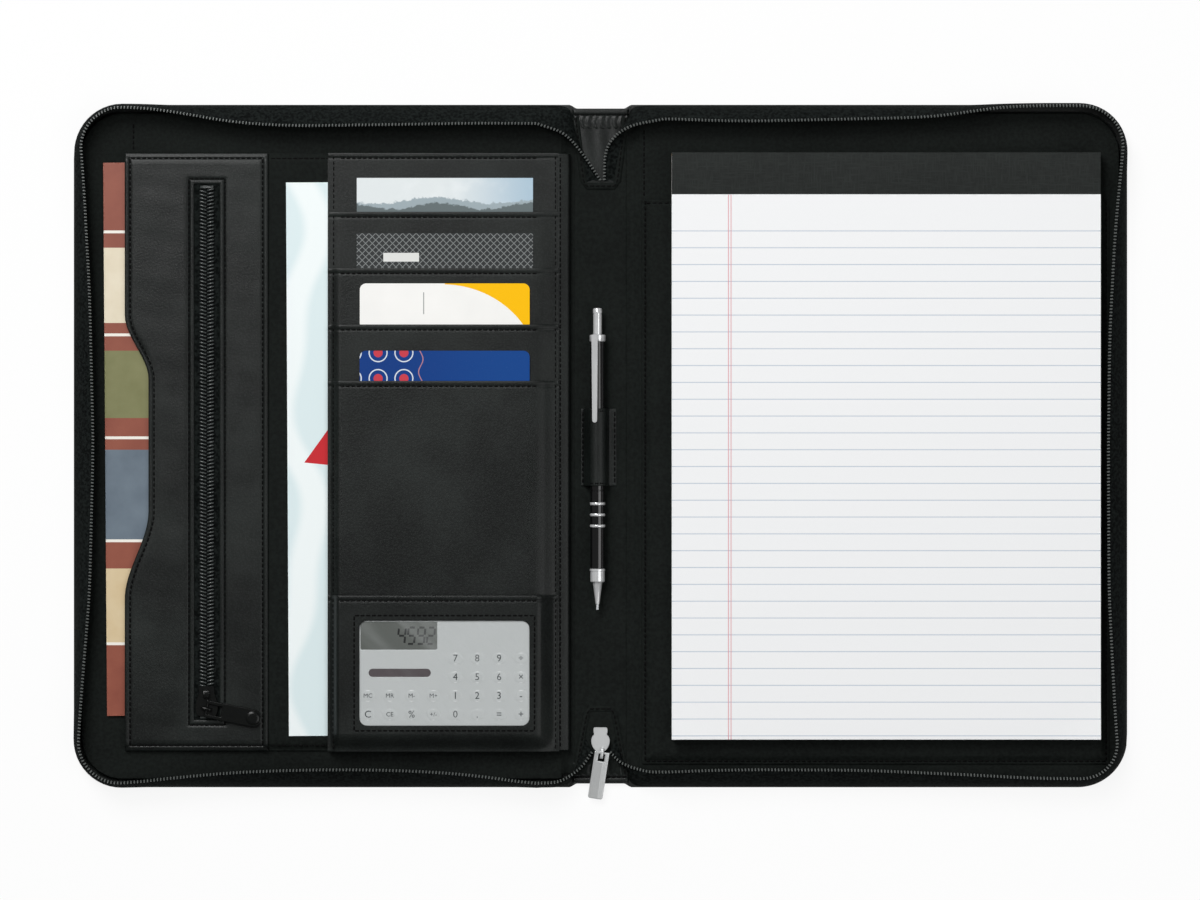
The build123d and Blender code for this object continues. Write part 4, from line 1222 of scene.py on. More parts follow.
@dataclass
class ZipperWall:
    """Zipper tape and teeth round one cover, and the ends that run in over the crease to the spine."""

    cover: Cover
    leans: Sequence[Pair]
    top_teeth: Sequence[Spot]
    top_foot: Sequence[Spot]
    low_teeth: Sequence[Spot]
    low_foot: Sequence[Spot]
    foot_inset: float = 0.2
    wall_start: float = 32.0
    bulge: float = 1.3
    tape_t: float = 0.8
    pitch: float = 1.67
    tooth: Spot = (1.6, 0.8, 1.4)
    bend_start: float = 25.0
    bend_end: float = 9.0

    def edges(self) -> Grid:
        """Foot, head and outward directions of the wall: it leans in by its stations, given as run and lean.

        Returns:
            Points of the foot on the leather, points of the head under the teeth, and outward directions.
        """
        wall = Extent.of("right_zipper_tape")
        points, out = self.cover.edge_run(0.0, self.wall_start)
        lean = np.interp(run_along(points), *np.array(self.leans).T)
        lean = np.convolve(np.pad(lean, 3, mode="edge"), np.full(7, 1 / 7), "valid")
        foot = raised(points - out * self.foot_inset, wall.low[2])
        return foot, raised(points - out * lean[:, None], wall.high[2]), raised(out, 0.0)

    def strip(self, foot: Array, head: Array, out: Array) -> Surface:
        """Tape between two edges: a straight run from foot to head, bowed outwards by half a sine.

        Args:
            foot: Points of the lower edge.
            head: Points of the upper edge.
            out: Outward directions.

        Returns:
            A ring of points for each place along the edges, closed at both ends.
        """
        share = np.linspace(0, 1, 9)
        bow = np.sin(share * math.pi)[None, :, None]
        straight = foot[:, None] + (head - foot)[:, None] * share[None, :, None]
        outer = straight + out[:, None] * bow * self.bulge
        normal = np.cross(*np.gradient(outer, axis=(0, 1)))
        normal /= np.linalg.norm(normal, axis=2, keepdims=True) + 1e-9
        facing = np.sign(np.sum(normal * (out[:, None] + np.array([0, 0, 0.6])), axis=2, keepdims=True))
        inner = outer - normal * facing * self.tape_t * (0.3 + 0.7 * bow)
        ring = np.concatenate([outer, inner[:, ::-1]], axis=1)
        width = np.linalg.norm(head - foot, axis=1)
        over = np.concatenate([share, share[::-1]])
        chart = np.stack(np.broadcast_arrays(run_along(foot)[:, None], width[:, None] * over[None]), axis=-1)
        ends = [np.broadcast_to(ring[k].mean(axis=0), ring[k].shape)[None] for k in (0, -1)]
        ring = np.concatenate([ends[0], ring, ends[1]])
        chart = np.concatenate([chart[:1], chart, chart[-1:]])
        return patch(ring, chart, wrap=True)

    def teeth(self, path: Array) -> Surface:
        """Coil turns along a path: beads that lie across it, tipped a little along it."""
        points, ahead = resampled(path, self.pitch)
        across = unit(unit(np.cross(ahead, UP)) + ahead * 0.12)
        return strewn(bead(*self.tooth), points + UP * self.tooth[2] / 3, across, UP)

    @staticmethod
    def flat_size(foot: Array, head: Array) -> Pair:
        """Mean width, the least of a sheet or more, and mean length of the tape between two edges."""
        length = float(run_along(foot)[-1] + run_along(head)[-1]) / 2
        return max(LEAST_SHEET, float(np.linalg.norm(head - foot, axis=1).mean())), length

    def build(self) -> None:
        """Makes the wall and its teeth, and both ends."""
        side = self.cover.side
        name = self.cover.name
        foot, head, out = self.edges()
        wall = place(name + "_zipper_wall", on_side(self.strip(foot, head, out), side), TAPE, "zipper_tape",
                     self.cover.body, [name + "_zipper_tape"])
        self.flat_size(foot, head)
        place(name + "_zipper_coil", on_side(self.teeth(head), side), COIL_PAINTED_HIGHLIGHT, "zipper_teeth", self.cover.body,
              [name + "_zipper_teeth"])
        bend = Bend(self.cover.body, "spine", (side * self.bend_start, 0, 0), (side * self.bend_end, 0, 0))
        for end, k, outward, teeth, low in (("top", 0, 1.0, self.top_teeth, self.top_foot),
                                            ("bottom", -1, -1.0, self.low_teeth, self.low_foot)):
            foot_line = evened(spline([foot[k], *low]))
            head_line = evened(spline([head[k], *teeth]))
            tape = self.strip(foot_line, head_line, np.tile([0.0, outward, 0.0], (len(foot_line), 1)))
            piece = place(f"{name}_{end}_tape_end", on_side(tape, side), TAPE, "zipper_tape", bend)
            self.flat_size(foot_line, head_line)
            stands_for = ["spine_zipper_teeth"] if side > 0 and end == "top" else []
            coil = on_side(self.teeth(head_line), side)
            place(f"{name}_{end}_coil_end", coil, COIL_PAINTED_HIGHLIGHT, "zipper_teeth", bend, stands_for)


def oblong(low: Sequence[float], high: Sequence[float], step: float = 4.0,
           marks_x: Sequence[float] = (), marks_y: Sequence[float] = ()) -> Grid:
    """Grid over an oblong sheet.

    Args:
        low: Lowest X and Y.
        high: Highest X and Y.
        step: Distance between grid lines away from the edges.
        marks_x: Other X places that need close lines.
        marks_y: Other Y places that need close lines.

    Returns:
        X and Y of the grid, and each point's distance from the nearest edge.
    """
    lines = [spaced(low[k], high[k], step, marks) for k, marks in enumerate((marks_x, marks_y))]
    x, y = np.meshgrid(*lines, indexing="ij")
    return x, y, np.minimum(np.minimum(x - low[0], high[0] - x), np.minimum(y - low[1], high[1] - y))


def cut_out(x: Array, y: Array, low: Sequence[float], high: Sequence[float],
            radius: float) -> tuple[Array, Array, Array, Array]:
    """Cuts an opening with round corners in a grid.

    Args:
        x: X of the grid, with lines at the opening's sides.
        y: Y of the grid, likewise.
        low: Lower corner of the opening.
        high: Upper corner of the opening.
        radius: Radius of its corners.

    Returns:
        X and Y with the points inside a corner moved out to its arc, the distance from the opening (negative
        inside it), and the mask of the cells that stay.
    """
    middle = (np.array(low[:2]) + high[:2]) / 2
    reach = (np.array(high[:2]) - low[:2]) / 2 - radius
    over_x = np.abs(x - middle[0]) - reach[0]
    over_y = np.abs(y - middle[1]) - reach[1]
    corner = np.hypot(np.clip(over_x, 0, None), np.clip(over_y, 0, None))
    hole = np.round(corner + np.minimum(np.maximum(over_x, over_y), 0) - radius, 3)
    outside = hole > 1e-6
    keep = outside[:-1, :-1] | outside[1:, :-1] | outside[:-1, 1:] | outside[1:, 1:]
    turn = (over_x > 0) & (over_y > 0) & (hole < 0)
    scale = np.where(turn, radius / np.clip(corner, 1e-6, None), 1.0)
    x = np.where(turn, middle[0] + np.sign(x - middle[0]) * (reach[0] + over_x * scale), x)
    y = np.where(turn, middle[1] + np.sign(y - middle[1]) * (reach[1] + over_y * scale), y)
    return x, y, hole, keep


def strap(profile: Array, run: Array, thickness: float, axis: str = "y", roll: float = 0.35) -> Surface:
    """Thin band whose middle line is a profile of (across, height) points, carried along X or Y.

    Both faces stand half a thickness from the middle line, square to it, and meet on rolled edges.

    Args:
        profile: Middle line of the section.
        run: Places along the axis, from edge to edge.
        thickness: Thickness away from the edges.
        axis: The axis that the section is carried along.
        roll: Radius of the edges.

    Returns:
        The closed band.
    """
    normal = unit(np.gradient(profile, axis=0))[:, ::-1] * (-1.0, 1.0)
    length = run_along(profile)
    from_ends = np.minimum(length, length[-1] - length)
    from_sides = np.minimum(run - run[0], run[-1] - run)
    half = thickness / 2 * rolled(np.minimum(from_ends[:, None], from_sides[None]), roll)
    chart = np.stack(np.broadcast_arrays(length[:, None], run[None]), axis=-1)
    faces = []
    for sign in (1, -1):
        across = profile[:, :1] + normal[:, :1] * half * sign
        height = profile[:, 1:] + normal[:, 1:] * half * sign
        along = np.broadcast_to(run[None], across.shape)
        order = (along, across, height) if axis == "x" else (across, along, height)
        faces.append(patch(np.stack(order, axis=-1), chart))
    faces[1].quads = faces[1].quads[:, ::-1]
    return faces[0] + faces[1]


@dataclass
class Spine:
    """The spine: leather back, padded lining, and the soft folds at the creases."""

    skin: Extent = solid("spine_skin")
    board: Extent = solid("spine_board")
    lining: Extent = solid("spine_lining")
    crease: float = 15.0
    fold_reach: float = 3.4
    lining_lap: float = 2.6
    bend_half: float = 2.0
    hide_t: float = 0.74
    hide_heights: Sequence[float] = (0.4, 0.4)
    hide_past: float = 2.4
    hide_drop: float = 1.8
    cloth_t: float = 0.4
    cloth_heights: Sequence[float] = (2.1, 1.8, 1.75, 2.7, 3.45)

    @property
    def cloth_reach(self) -> float:
        """Half the length of the lining at the creases."""
        return self.lining.high[1] - 0.4

    def back(self) -> Surface:
        """Leather back of the spine: a flat sheet with rolled edges."""
        return leaf(*oblong(self.skin.low, self.skin.high, 3.0), (0.0, self.skin.high[2]), 0.4)

    def lining_pad(self) -> Surface:
        """Lining over the spine board: slightly crowned, a little uneven."""
        x, y, edge = oblong(self.lining.low, self.lining.high, 3.0)
        wave = ripple(x, y, 21.0, 0.4) * 0.06 * smooth(edge, 0.5, 3.0)
        return leaf(x, y, edge, (self.board.low[2], self.lining.high[2]), 1.2, wave)

    def fold(self, side: int, heights: Sequence[float], thickness: float, reach: float,
             drop: float = 0.0) -> Surface:
        """Soft strip across a crease.

        Args:
            side: 1 for the right crease, -1 for the left.
            heights: Heights at even steps from the spine to the cover.
            thickness: Thickness of the strip.
            reach: Half its length at the cover.
            drop: How much shorter each end is at the spine; the ends run over in a smooth curve.

        Returns:
            The strip, carried along Y.
        """
        x0 = self.crease - self.fold_reach
        x1 = self.crease + self.fold_reach + (self.lining_lap if len(heights) > 2 else 0.0)
        profile = spline(np.column_stack([np.linspace(x0, x1, len(heights)), heights]), 8)
        band = strap(profile, spaced(-reach, reach, 6.0), thickness)
        band.points[:, 1] *= 1 - drop / reach * smooth(x1 - band.points[:, 0], 0.4 * (x1 - x0), x1 - x0)
        return on_side(band, side)

    def build(self) -> None:
        """Makes the back, the lining and both folds."""
        back = place("spine_leather_back", self.back(), COVER_LEATHER, "cover_leather", "spine",
                     ["spine_skin"])
        self.skin.size
        pad = place("spine_lining_pad", self.lining_pad(), LINING, "lining_cloth", "spine",
                    ["spine_board", "spine_lining"])
        for side, name in ((1, "right"), (-1, "left")):
            ends = [(side * (self.crease + off), 0, 0) for off in (self.bend_half, -self.bend_half)]
            bend = Bend(name + "_cover", "spine", *ends)
            reach = self.skin.high[1] + self.hide_past
            hide = self.fold(side, self.hide_heights, self.hide_t, reach, self.hide_drop)
            place(name + "_crease_leather", hide, COVER_LEATHER, "cover_leather", bend)
            cloth = self.fold(side, self.cloth_heights, self.cloth_t, self.cloth_reach)
            piece = place(name + "_crease_lining", cloth, LINING, "lining_cloth", bend)


@dataclass
class SpineEnd:
    """One end of the spine: a gusset that widens from its tip, its folded hem, and the turned-in lip."""

    name: str
    end: int
    tip: float
    tip_half: float
    finish: Finish
    pleat: float
    crest: float
    root_half: float = 12.4
    hem_half: float = 1.7
    lip_depth: float = 11.0
    lip_half: float = 14.3
    lip_seam: float = 3.4
    lip_base: float = 1.1
    skin: Extent = solid("spine_skin")

    @property
    def box(self) -> Extent:
        """Extent of the gusset's solid."""
        return Extent.of(self.name + "_gusset_patch")

    @property
    def root(self) -> float:
        """Y of the gusset's wide end."""
        return self.box.high[1] if self.end > 0 else self.box.low[1]

    @property
    def outer(self) -> float:
        """Distance of the lip's outer edge from the middle of the spine."""
        return self.skin.high[1] + 0.6

    def gusset(self) -> Surface:
        """Patch with shallow pleats that fan from its tip."""
        u, v = np.meshgrid(spaced(-1, 1, 0.05), np.linspace(0, 1, 30), indexing="ij")
        u = np.sin(u * math.pi / 2)
        half = self.tip_half + (self.root_half - self.tip_half) * v
        run = self.root - self.tip
        edge = np.minimum((1 - np.abs(u)) * half, np.minimum(v, 1 - v) * abs(run))
        pleats = (np.sin(u * 9 + v * 2) - 1) * 0.11 * smooth(v, 0.1, 0.8) * rolled(edge, 0.6)
        return leaf(u * half, self.tip + run * v, edge, self.box.heights, 0.6, pleats)

    def hem(self) -> Array:
        """Path of the folded edge: down one side of the gusset, across its tip and up the other side."""
        out = self.hem_half * 0.8
        height = Extent.of("top_gusset_patch").high[2] - 0.15
        half = [(self.root_half + 0.2, self.root), (self.tip_half + out, self.tip + self.end * 2.0),
                (self.tip_half - 0.4, self.tip - self.end * out * 0.6)]
        return np.array([(-x, y, height) for x, y in half] + [(x, y, height) for x, y in half[::-1]])

    def lip(self) -> Surface:
        """Turned-in end of the leather back, drawn up into soft pleats by its sewn edge."""
        inner = self.outer - self.lip_depth
        x, y, edge = oblong((-self.lip_half, inner), (self.lip_half, self.outer), 1.0)
        roll = rolled(edge, 1.4)
        pleats = (np.sin(x * 1.9 + np.sin(y * 0.7) * 1.3) + 0.5 * np.sin(x * 0.83 + 1.0)) * self.pleat
        loose = 1 - smooth((y - inner) / self.lip_depth, 0.55, 0.75)
        rise = self.crest + pleats * loose - furrow(self.outer - y, self.lip_seam, 0.5) * 0.6
        return pillow(x, self.end * y, self.lip_base - 0.6 * roll, self.lip_base + rise * roll)

    def build(self) -> None:
        """Makes the gusset, its hem, the lip and their stitches."""
        piece = place(self.name + "_gusset_leather", self.gusset(), self.finish, "inner_leather", "spine",
                      [self.name + "_gusset_patch"])
        abs(self.root - self.tip)
        path = self.hem()
        fold = tube(path, self.hem_half, 10, flat=0.35)
        place(self.name + "_gusset_hem", fold, LINING, "lining_cloth", "spine")
        seam = stitches(path + UP * self.hem_half * 0.33)
        place(self.name + "_gusset_stitches", seam, THREAD, "inner_leather", "spine")
        piece = place(self.name + "_spine_lip", self.lip(), INNER_LEATHER, "cover_leather", "spine")
        line = self.end * (self.outer - self.lip_seam)
        across = stitches([(x, line, 2.5) for x in (1 - self.lip_half, self.lip_half - 1)])
        place(self.name + "_spine_lip_stitches", across, THREAD, "cover_leather", "spine")


@dataclass
class PenLoop:
    """Leather loop that grips the pen: a strap from its sewn foot, over the pen and down to a tab."""

    body: str = "spine"
    thickness: float = 0.7
    foot_left: float = -9.9
    seam_inset: float = 1.3
    loop: Extent = solid("pen_loop")

    def profile(self) -> Array:
        """Section of the strap, from the sewn foot on the left to the tab on the right."""
        base = self.loop.low[2] + self.thickness / 2
        right = self.loop.high[0]
        points = [(self.foot_left, base), (-8.2, base + 0.5), (-6.2, base + 5.0), (-4.5, 11.0), (-1.5, 12.0),
                  (1.6, 10.95), (3.25, 7.5), (3.3, base + 1.7), (4.6, base + 0.15), (right, base)]
        return spline(points, 10)

    def build(self) -> None:
        """Makes the strap and its stitches."""
        profile = self.profile()
        run = spaced(self.loop.low[1], self.loop.high[1], 3.0)
        piece = place("pen_loop_strap", strap(profile, run, self.thickness), INNER_LEATHER, "inner_leather",
                      self.body, ["pen_loop"])
        run_along(profile)[-1]
        top = self.thickness / 2 - 0.1
        low = self.loop.low[1] + self.seam_inset
        high = self.loop.high[1] - self.seam_inset
        base = self.loop.low[2] + self.thickness
        rows = [stitches([(x, low, base + rise), (x, high, base + rise)])
                for x, rise in ((self.foot_left + 1.0, 0.35), (self.loop.high[0] - 1.0, 0.05))]
        crown = profile[(profile[:, 0] > -8.0) & (profile[:, 0] < 3.0) & (profile[:, 1] > 5.0)]
        for y in (low, high):
            rows.append(stitches([(x, y, z + top) for x, z in crown]))
        place("pen_loop_stitches", joined(rows), THREAD, "inner_leather", self.body)


@dataclass
class PadPocket:
    """Cloth pocket on the right cover that takes the pad's backing board."""

    body: str = "right_cover"
    panel: Extent = solid("pad_pocket_panel")
    lining_top: float = 3.6
    seam_inset: float = 1.6
    hem_run: float = 14.0
    pad_sides: Pair = (34.0, 254.0)
    pad_foot: float = -149.5

    def sheet(self) -> Surface:
        """Panel that lies on the board and dips to the lining along its three sewn edges."""
        low, high = self.panel.low, self.panel.high
        x, y, edge = oblong(low, high, 4.0)
        sewn = np.minimum(np.minimum(x - low[0], high[0] - x), y - low[1])
        middle = self.lining_top + 0.35 + (high[2] - 0.3 - self.lining_top - 0.35) * smooth(sewn, 1.0, 5.0)
        under_pad = np.minimum(np.minimum(x - self.pad_sides[0], self.pad_sides[1] - x), y - self.pad_foot)
        visible = 1 - smooth(under_pad, -3.0, 0.5)
        wave = ripple(x, y, 27.0, 1.9) * 0.16 * smooth(sewn, 0.6, 4.0) * visible
        line = furrow(sewn, self.seam_inset) * 0.18 + furrow(high[1] - y, self.seam_inset) * 0.1
        return leaf(x, y, edge, (middle - 0.27, middle + 0.27), 0.4, (wave - line) * rolled(edge, 0.4))

    def build(self) -> None:
        """Makes the panel and its stitches."""
        piece = place("pad_pocket_cloth", self.sheet(), LINING, "lining_cloth", self.body,
                      ["pad_pocket_panel"])
        self.panel.size
        low, high = self.panel.low, self.panel.high
        inset = self.seam_inset
        z = self.lining_top + 1.0
        round_edge = [(low[0] + inset, high[1], z), (low[0] + inset, low[1] + inset, z),
                      (high[0] - inset, low[1] + inset, z), (high[0] - inset, high[1], z)]
        rows = [stitches(round_edge[k:k + 2]) for k in range(3)]
        hem = high[1] - inset
        rows.append(stitches([(low[0] + inset, hem, z + 0.6), (low[0] + self.hem_run, hem, z + 1.0)]))
        place("pad_pocket_stitches", joined(rows), THREAD, "lining_cloth", self.body)


@dataclass
class WritingPad:
    """Ruled pad: stack of paper, the top sheet that turns over, and the cloth that binds its head."""

    body: str = "writing_pad"
    block: Extent = solid("pad_paper_block")
    header: Extent = solid("pad_header_strip")
    top_sheet: Extent = solid("pad_top_sheet")
    levels: int = 22
    jitter: float = 0.16
    first_rule_drop: float = 18.2
    rule_spacing: float = 8.47
    margin_left: float = 28.5
    margin_gap: float = 1.3
    curl_reach: float = 34.0

    def ruled(self) -> RuledPaper:
        """Finish of the sheets, its lines placed from the pad's edges."""
        left = self.top_sheet.low[0] + self.margin_left
        return RuledPaper("ruled_paper", PAPER_WHITE, "#AEBBCB", "#D9909A",
                          self.top_sheet.high[1] - self.first_rule_drop, self.rule_spacing,
                          (left, left + self.margin_gap))

    def stack(self) -> Surface:
        """Stack of sheets: an oblong ring at each level, shifted a little so that the edges show."""
        low, high = self.block.low, self.block.high
        back = self.header.high[1] - 1.7
        side = np.linspace(0, 1, 24, endpoint=False)[None, :, None]
        corners = np.array([(low[0], low[1]), (high[0], low[1]), (high[0], back), (low[0], back)])
        ring = (corners[:, None] + (np.roll(corners, -1, axis=0) - corners)[:, None] * side).reshape(-1, 2)
        middle = ring.mean(axis=0)
        out = (ring - middle) / np.abs(ring - middle).max(axis=0)
        base = Extent.of("pad_pocket_panel").high[2] + 0.1
        z = np.linspace(base, high[2], self.levels)
        shift = -self.jitter * (1 + np.sin(z[:, None] * 37.0 + ring[:, 0] * 0.021 + ring[:, 1] * 0.017)) / 2
        rows = ring[None] + (np.sign(out) * (np.abs(out) > 0.999))[None] * shift[..., None]
        levels = np.stack([raised(row, height) for row, height in zip(rows, z)])
        poles = [np.broadcast_to(np.append(middle, z[k]), levels[0].shape)[None] for k in (0, -1)]
        return patch(np.concatenate([poles[0], levels, poles[1]]), wrap=True)

    def sheet(self, z0: float, z1: float, curl: float) -> Surface:
        """One sheet of paper.

        Args:
            z0: Underside.
            z1: Upper side.
            curl: Lift of its two lower corners.

        Returns:
            The closed sheet.
        """
        low, high = self.top_sheet.low, self.top_sheet.high
        x, y, edge = oblong(low, high, 9.0)
        corner = np.minimum(x - low[0], high[0] - x) + (y - low[1])
        lift = curl * smooth(-corner, -self.curl_reach, 0.0) ** 2
        return leaf(x, y, edge, (z0 + lift, z1 + lift), 0.07)

    def binding(self) -> Surface:
        """Cloth strip folded round the head of the pad, soft at both folds."""
        low, high = self.header.low, self.header.high
        t = 0.15
        top, back, foot = high[2] - t, high[1] - t, low[2] + t
        points = [(low[1], top), (low[1] + 8, top), (back - 1.4, top), (back - 0.3, top - 0.4),
                  (back, top - 1.6), (back, foot + 2.0), (back - 0.15, foot + 0.6), (back - 1.0, foot),
                  (low[1], foot)]
        return strap(np.array(points), spaced(low[0], high[0], 5.0), 2 * t, axis="x", roll=0.15)

    def build(self) -> None:
        """Makes the stack, two ruled sheets and the binding."""
        place("pad_paper_stack", self.stack(), BLOCK_PAPER, "pad_paper", self.body, ["pad_paper_block"], 35)
        z = self.block.high[2]
        second = place("pad_second_sheet", self.sheet(z, z + 0.06, 0.0), self.ruled(), "pad_paper", self.body)
        self.top_sheet.size
        sheet = self.sheet(*self.top_sheet.heights, 0.7)
        turning = place("pad_turning_sheet", sheet, self.ruled(), "pad_paper", "top_sheet", ["pad_top_sheet"])
        self.top_sheet.size
        cloth = place("pad_binding_cloth", self.binding(), HEADER_CLOTH, "pad_header", self.body,
                      ["pad_header_strip"])
        dress("pad_backing_board", CHIPBOARD)


@dataclass
class Pen:
    """Push pen: lacquered barrel, plated clip, rings, nose and button."""

    body: str = "pen"
    barrel: Extent = solid("pen_barrel")
    rings: Extent = solid("pen_trim_rings")
    nose: Extent = solid("pen_nose")
    clip: Extent = solid("pen_clip")
    button: Extent = solid("pen_push_button")
    ring_count: int = 3
    ring_width: float = 1.6
    groove_rise: float = 6.0
    clip_taper: float = 6.0
    ferrule: float = 6.7
    cone_root: float = 2.4
    clip_roll: float = 15.0
    clip_width: float = 3.2
    clip_low: float = 4.95
    clip_high: float = 5.7

    @property
    def axis(self) -> Pair:
        """X and Z of the pen's axis."""
        return (self.barrel.middle[0], self.barrel.middle[2])

    @property
    def radius(self) -> float:
        """Radius of the barrel."""
        return self.barrel.size[0] / 2

    def barrel_body(self) -> Surface:
        """Barrel with eased ends and a fine groove above the rings."""
        low, high, r = self.barrel.low[1], self.barrel.high[1], self.radius
        groove = self.rings.high[1] + self.groove_rise
        return lathe([(low, 0), (low, r - 0.25), (low + 0.3, r), (groove - 0.5, r), (groove - 0.3, r - 0.15),
                      (groove, r - 0.15), (groove + 0.2, r), (high - 0.4, r), (high, r - 0.35), (high, 0)],
                     self.axis)

    def ring_set(self) -> Surface:
        """Rounded trim rings at even steps."""
        r = self.rings.size[0] / 2
        half = self.ring_width / 2
        first = self.rings.low[1] + half
        places = np.linspace(first, self.rings.high[1] - half, self.ring_count)
        return joined([lathe([(y - half, 0), (y - half, r - 0.3), (y - half * 0.5, r), (y + half * 0.5, r),
                              (y + half, r - 0.3), (y + half, 0)], self.axis) for y in places])

    def nose_body(self) -> Surface:
        """Ferrule with a bead at its root and a slim cone."""
        top = self.nose.high[1]
        tip = self.nose.low[1]
        r = self.nose.size[0] / 2
        shoulder = top - self.ferrule
        return lathe([(top, 0), (top, r - 0.2), (top - 0.25, r), (top - 1.1, r), (top - 1.3, r - 0.25),
                      (shoulder + 0.4, r - 0.25), (shoulder, r - 0.6), (shoulder, self.cone_root + 0.2),
                      (shoulder - 0.3, self.cone_root), (tip + 0.4, 1.05), (tip, 0.95), (tip, 0)], self.axis)

    def clip_arm(self) -> Surface:
        """Spring clip: a tapering arm turned about the pen's axis, a neck, and a band round the barrel."""
        high = self.clip.high[1]
        low = self.clip.low[1]
        turn = np.linspace(0, math.pi, 9)
        half = self.clip_width / 2
        end = half * 0.8
        bottom = np.column_stack([-end * np.cos(turn), low + end - end * np.sin(turn)])
        start = high - self.clip_taper
        outline = np.vstack([bottom, [(half, start), (half, high), (-half, high), (-half, start)]])
        arm = prism(outline, self.clip_low, self.clip_high, 0.25, crown=0.18)
        neck = prism(np.array([(half, high - 3.3), (half, high), (-half, high), (-half, high - 3.3)]),
                     self.radius - 0.2, self.clip_low + 0.2, 0.1)
        both = arm + neck
        u, y, r = both.points.T
        x, z = turned(u, r, self.clip_roll)
        both.points = np.column_stack([self.axis[0] + x, y, self.axis[1] + z])
        r_in, r_out = self.radius - 0.4, self.radius + 0.33
        foot = high - 3.4
        band = lathe([(foot, r_in), (foot, r_out - 0.25), (high - 3.1, r_out), (high - 0.3, r_out),
                      (high, r_out - 0.3), (high, r_in), (foot, r_in)], self.axis)
        return both + band

    def push_button(self) -> Surface:
        """Button with a domed end and a fine step."""
        low, high = self.button.low[1], self.button.high[1]
        r = self.button.size[0] / 2
        return lathe([(low, 0), (low, r - 0.1), (high - 3.2, r - 0.1), (high - 3.0, r - 0.25),
                      (high - 2.8, r), (high - 0.9, r), (high - 0.35, r - 0.3), (high - 0.08, r - 0.9),
                      (high, 0)], self.axis)

    def build(self) -> None:
        """Makes the shown pieces and dresses the inner ones."""
        place("pen_barrel_tube", self.barrel_body(), PEN_LACQUER, "pen_black", self.body, ["pen_barrel"], 35)
        for name, shape, body, node, sharp in (
                ("pen_rings", self.ring_set(), self.body, "pen_trim_rings", 70),
                ("pen_nose_cone", self.nose_body(), self.body, "pen_nose", 35),
                ("pen_spring_clip", self.clip_arm(), self.body, "pen_clip", 40),
                ("pen_button_cap", self.push_button(), "pen_button", "pen_push_button", 35)):
            place(name, shape, CHROME, "steel_trim", body, [node], sharp)
        dress("pen_spring", SPRING_WIRE)
        dress("pen_refill", REFILL)


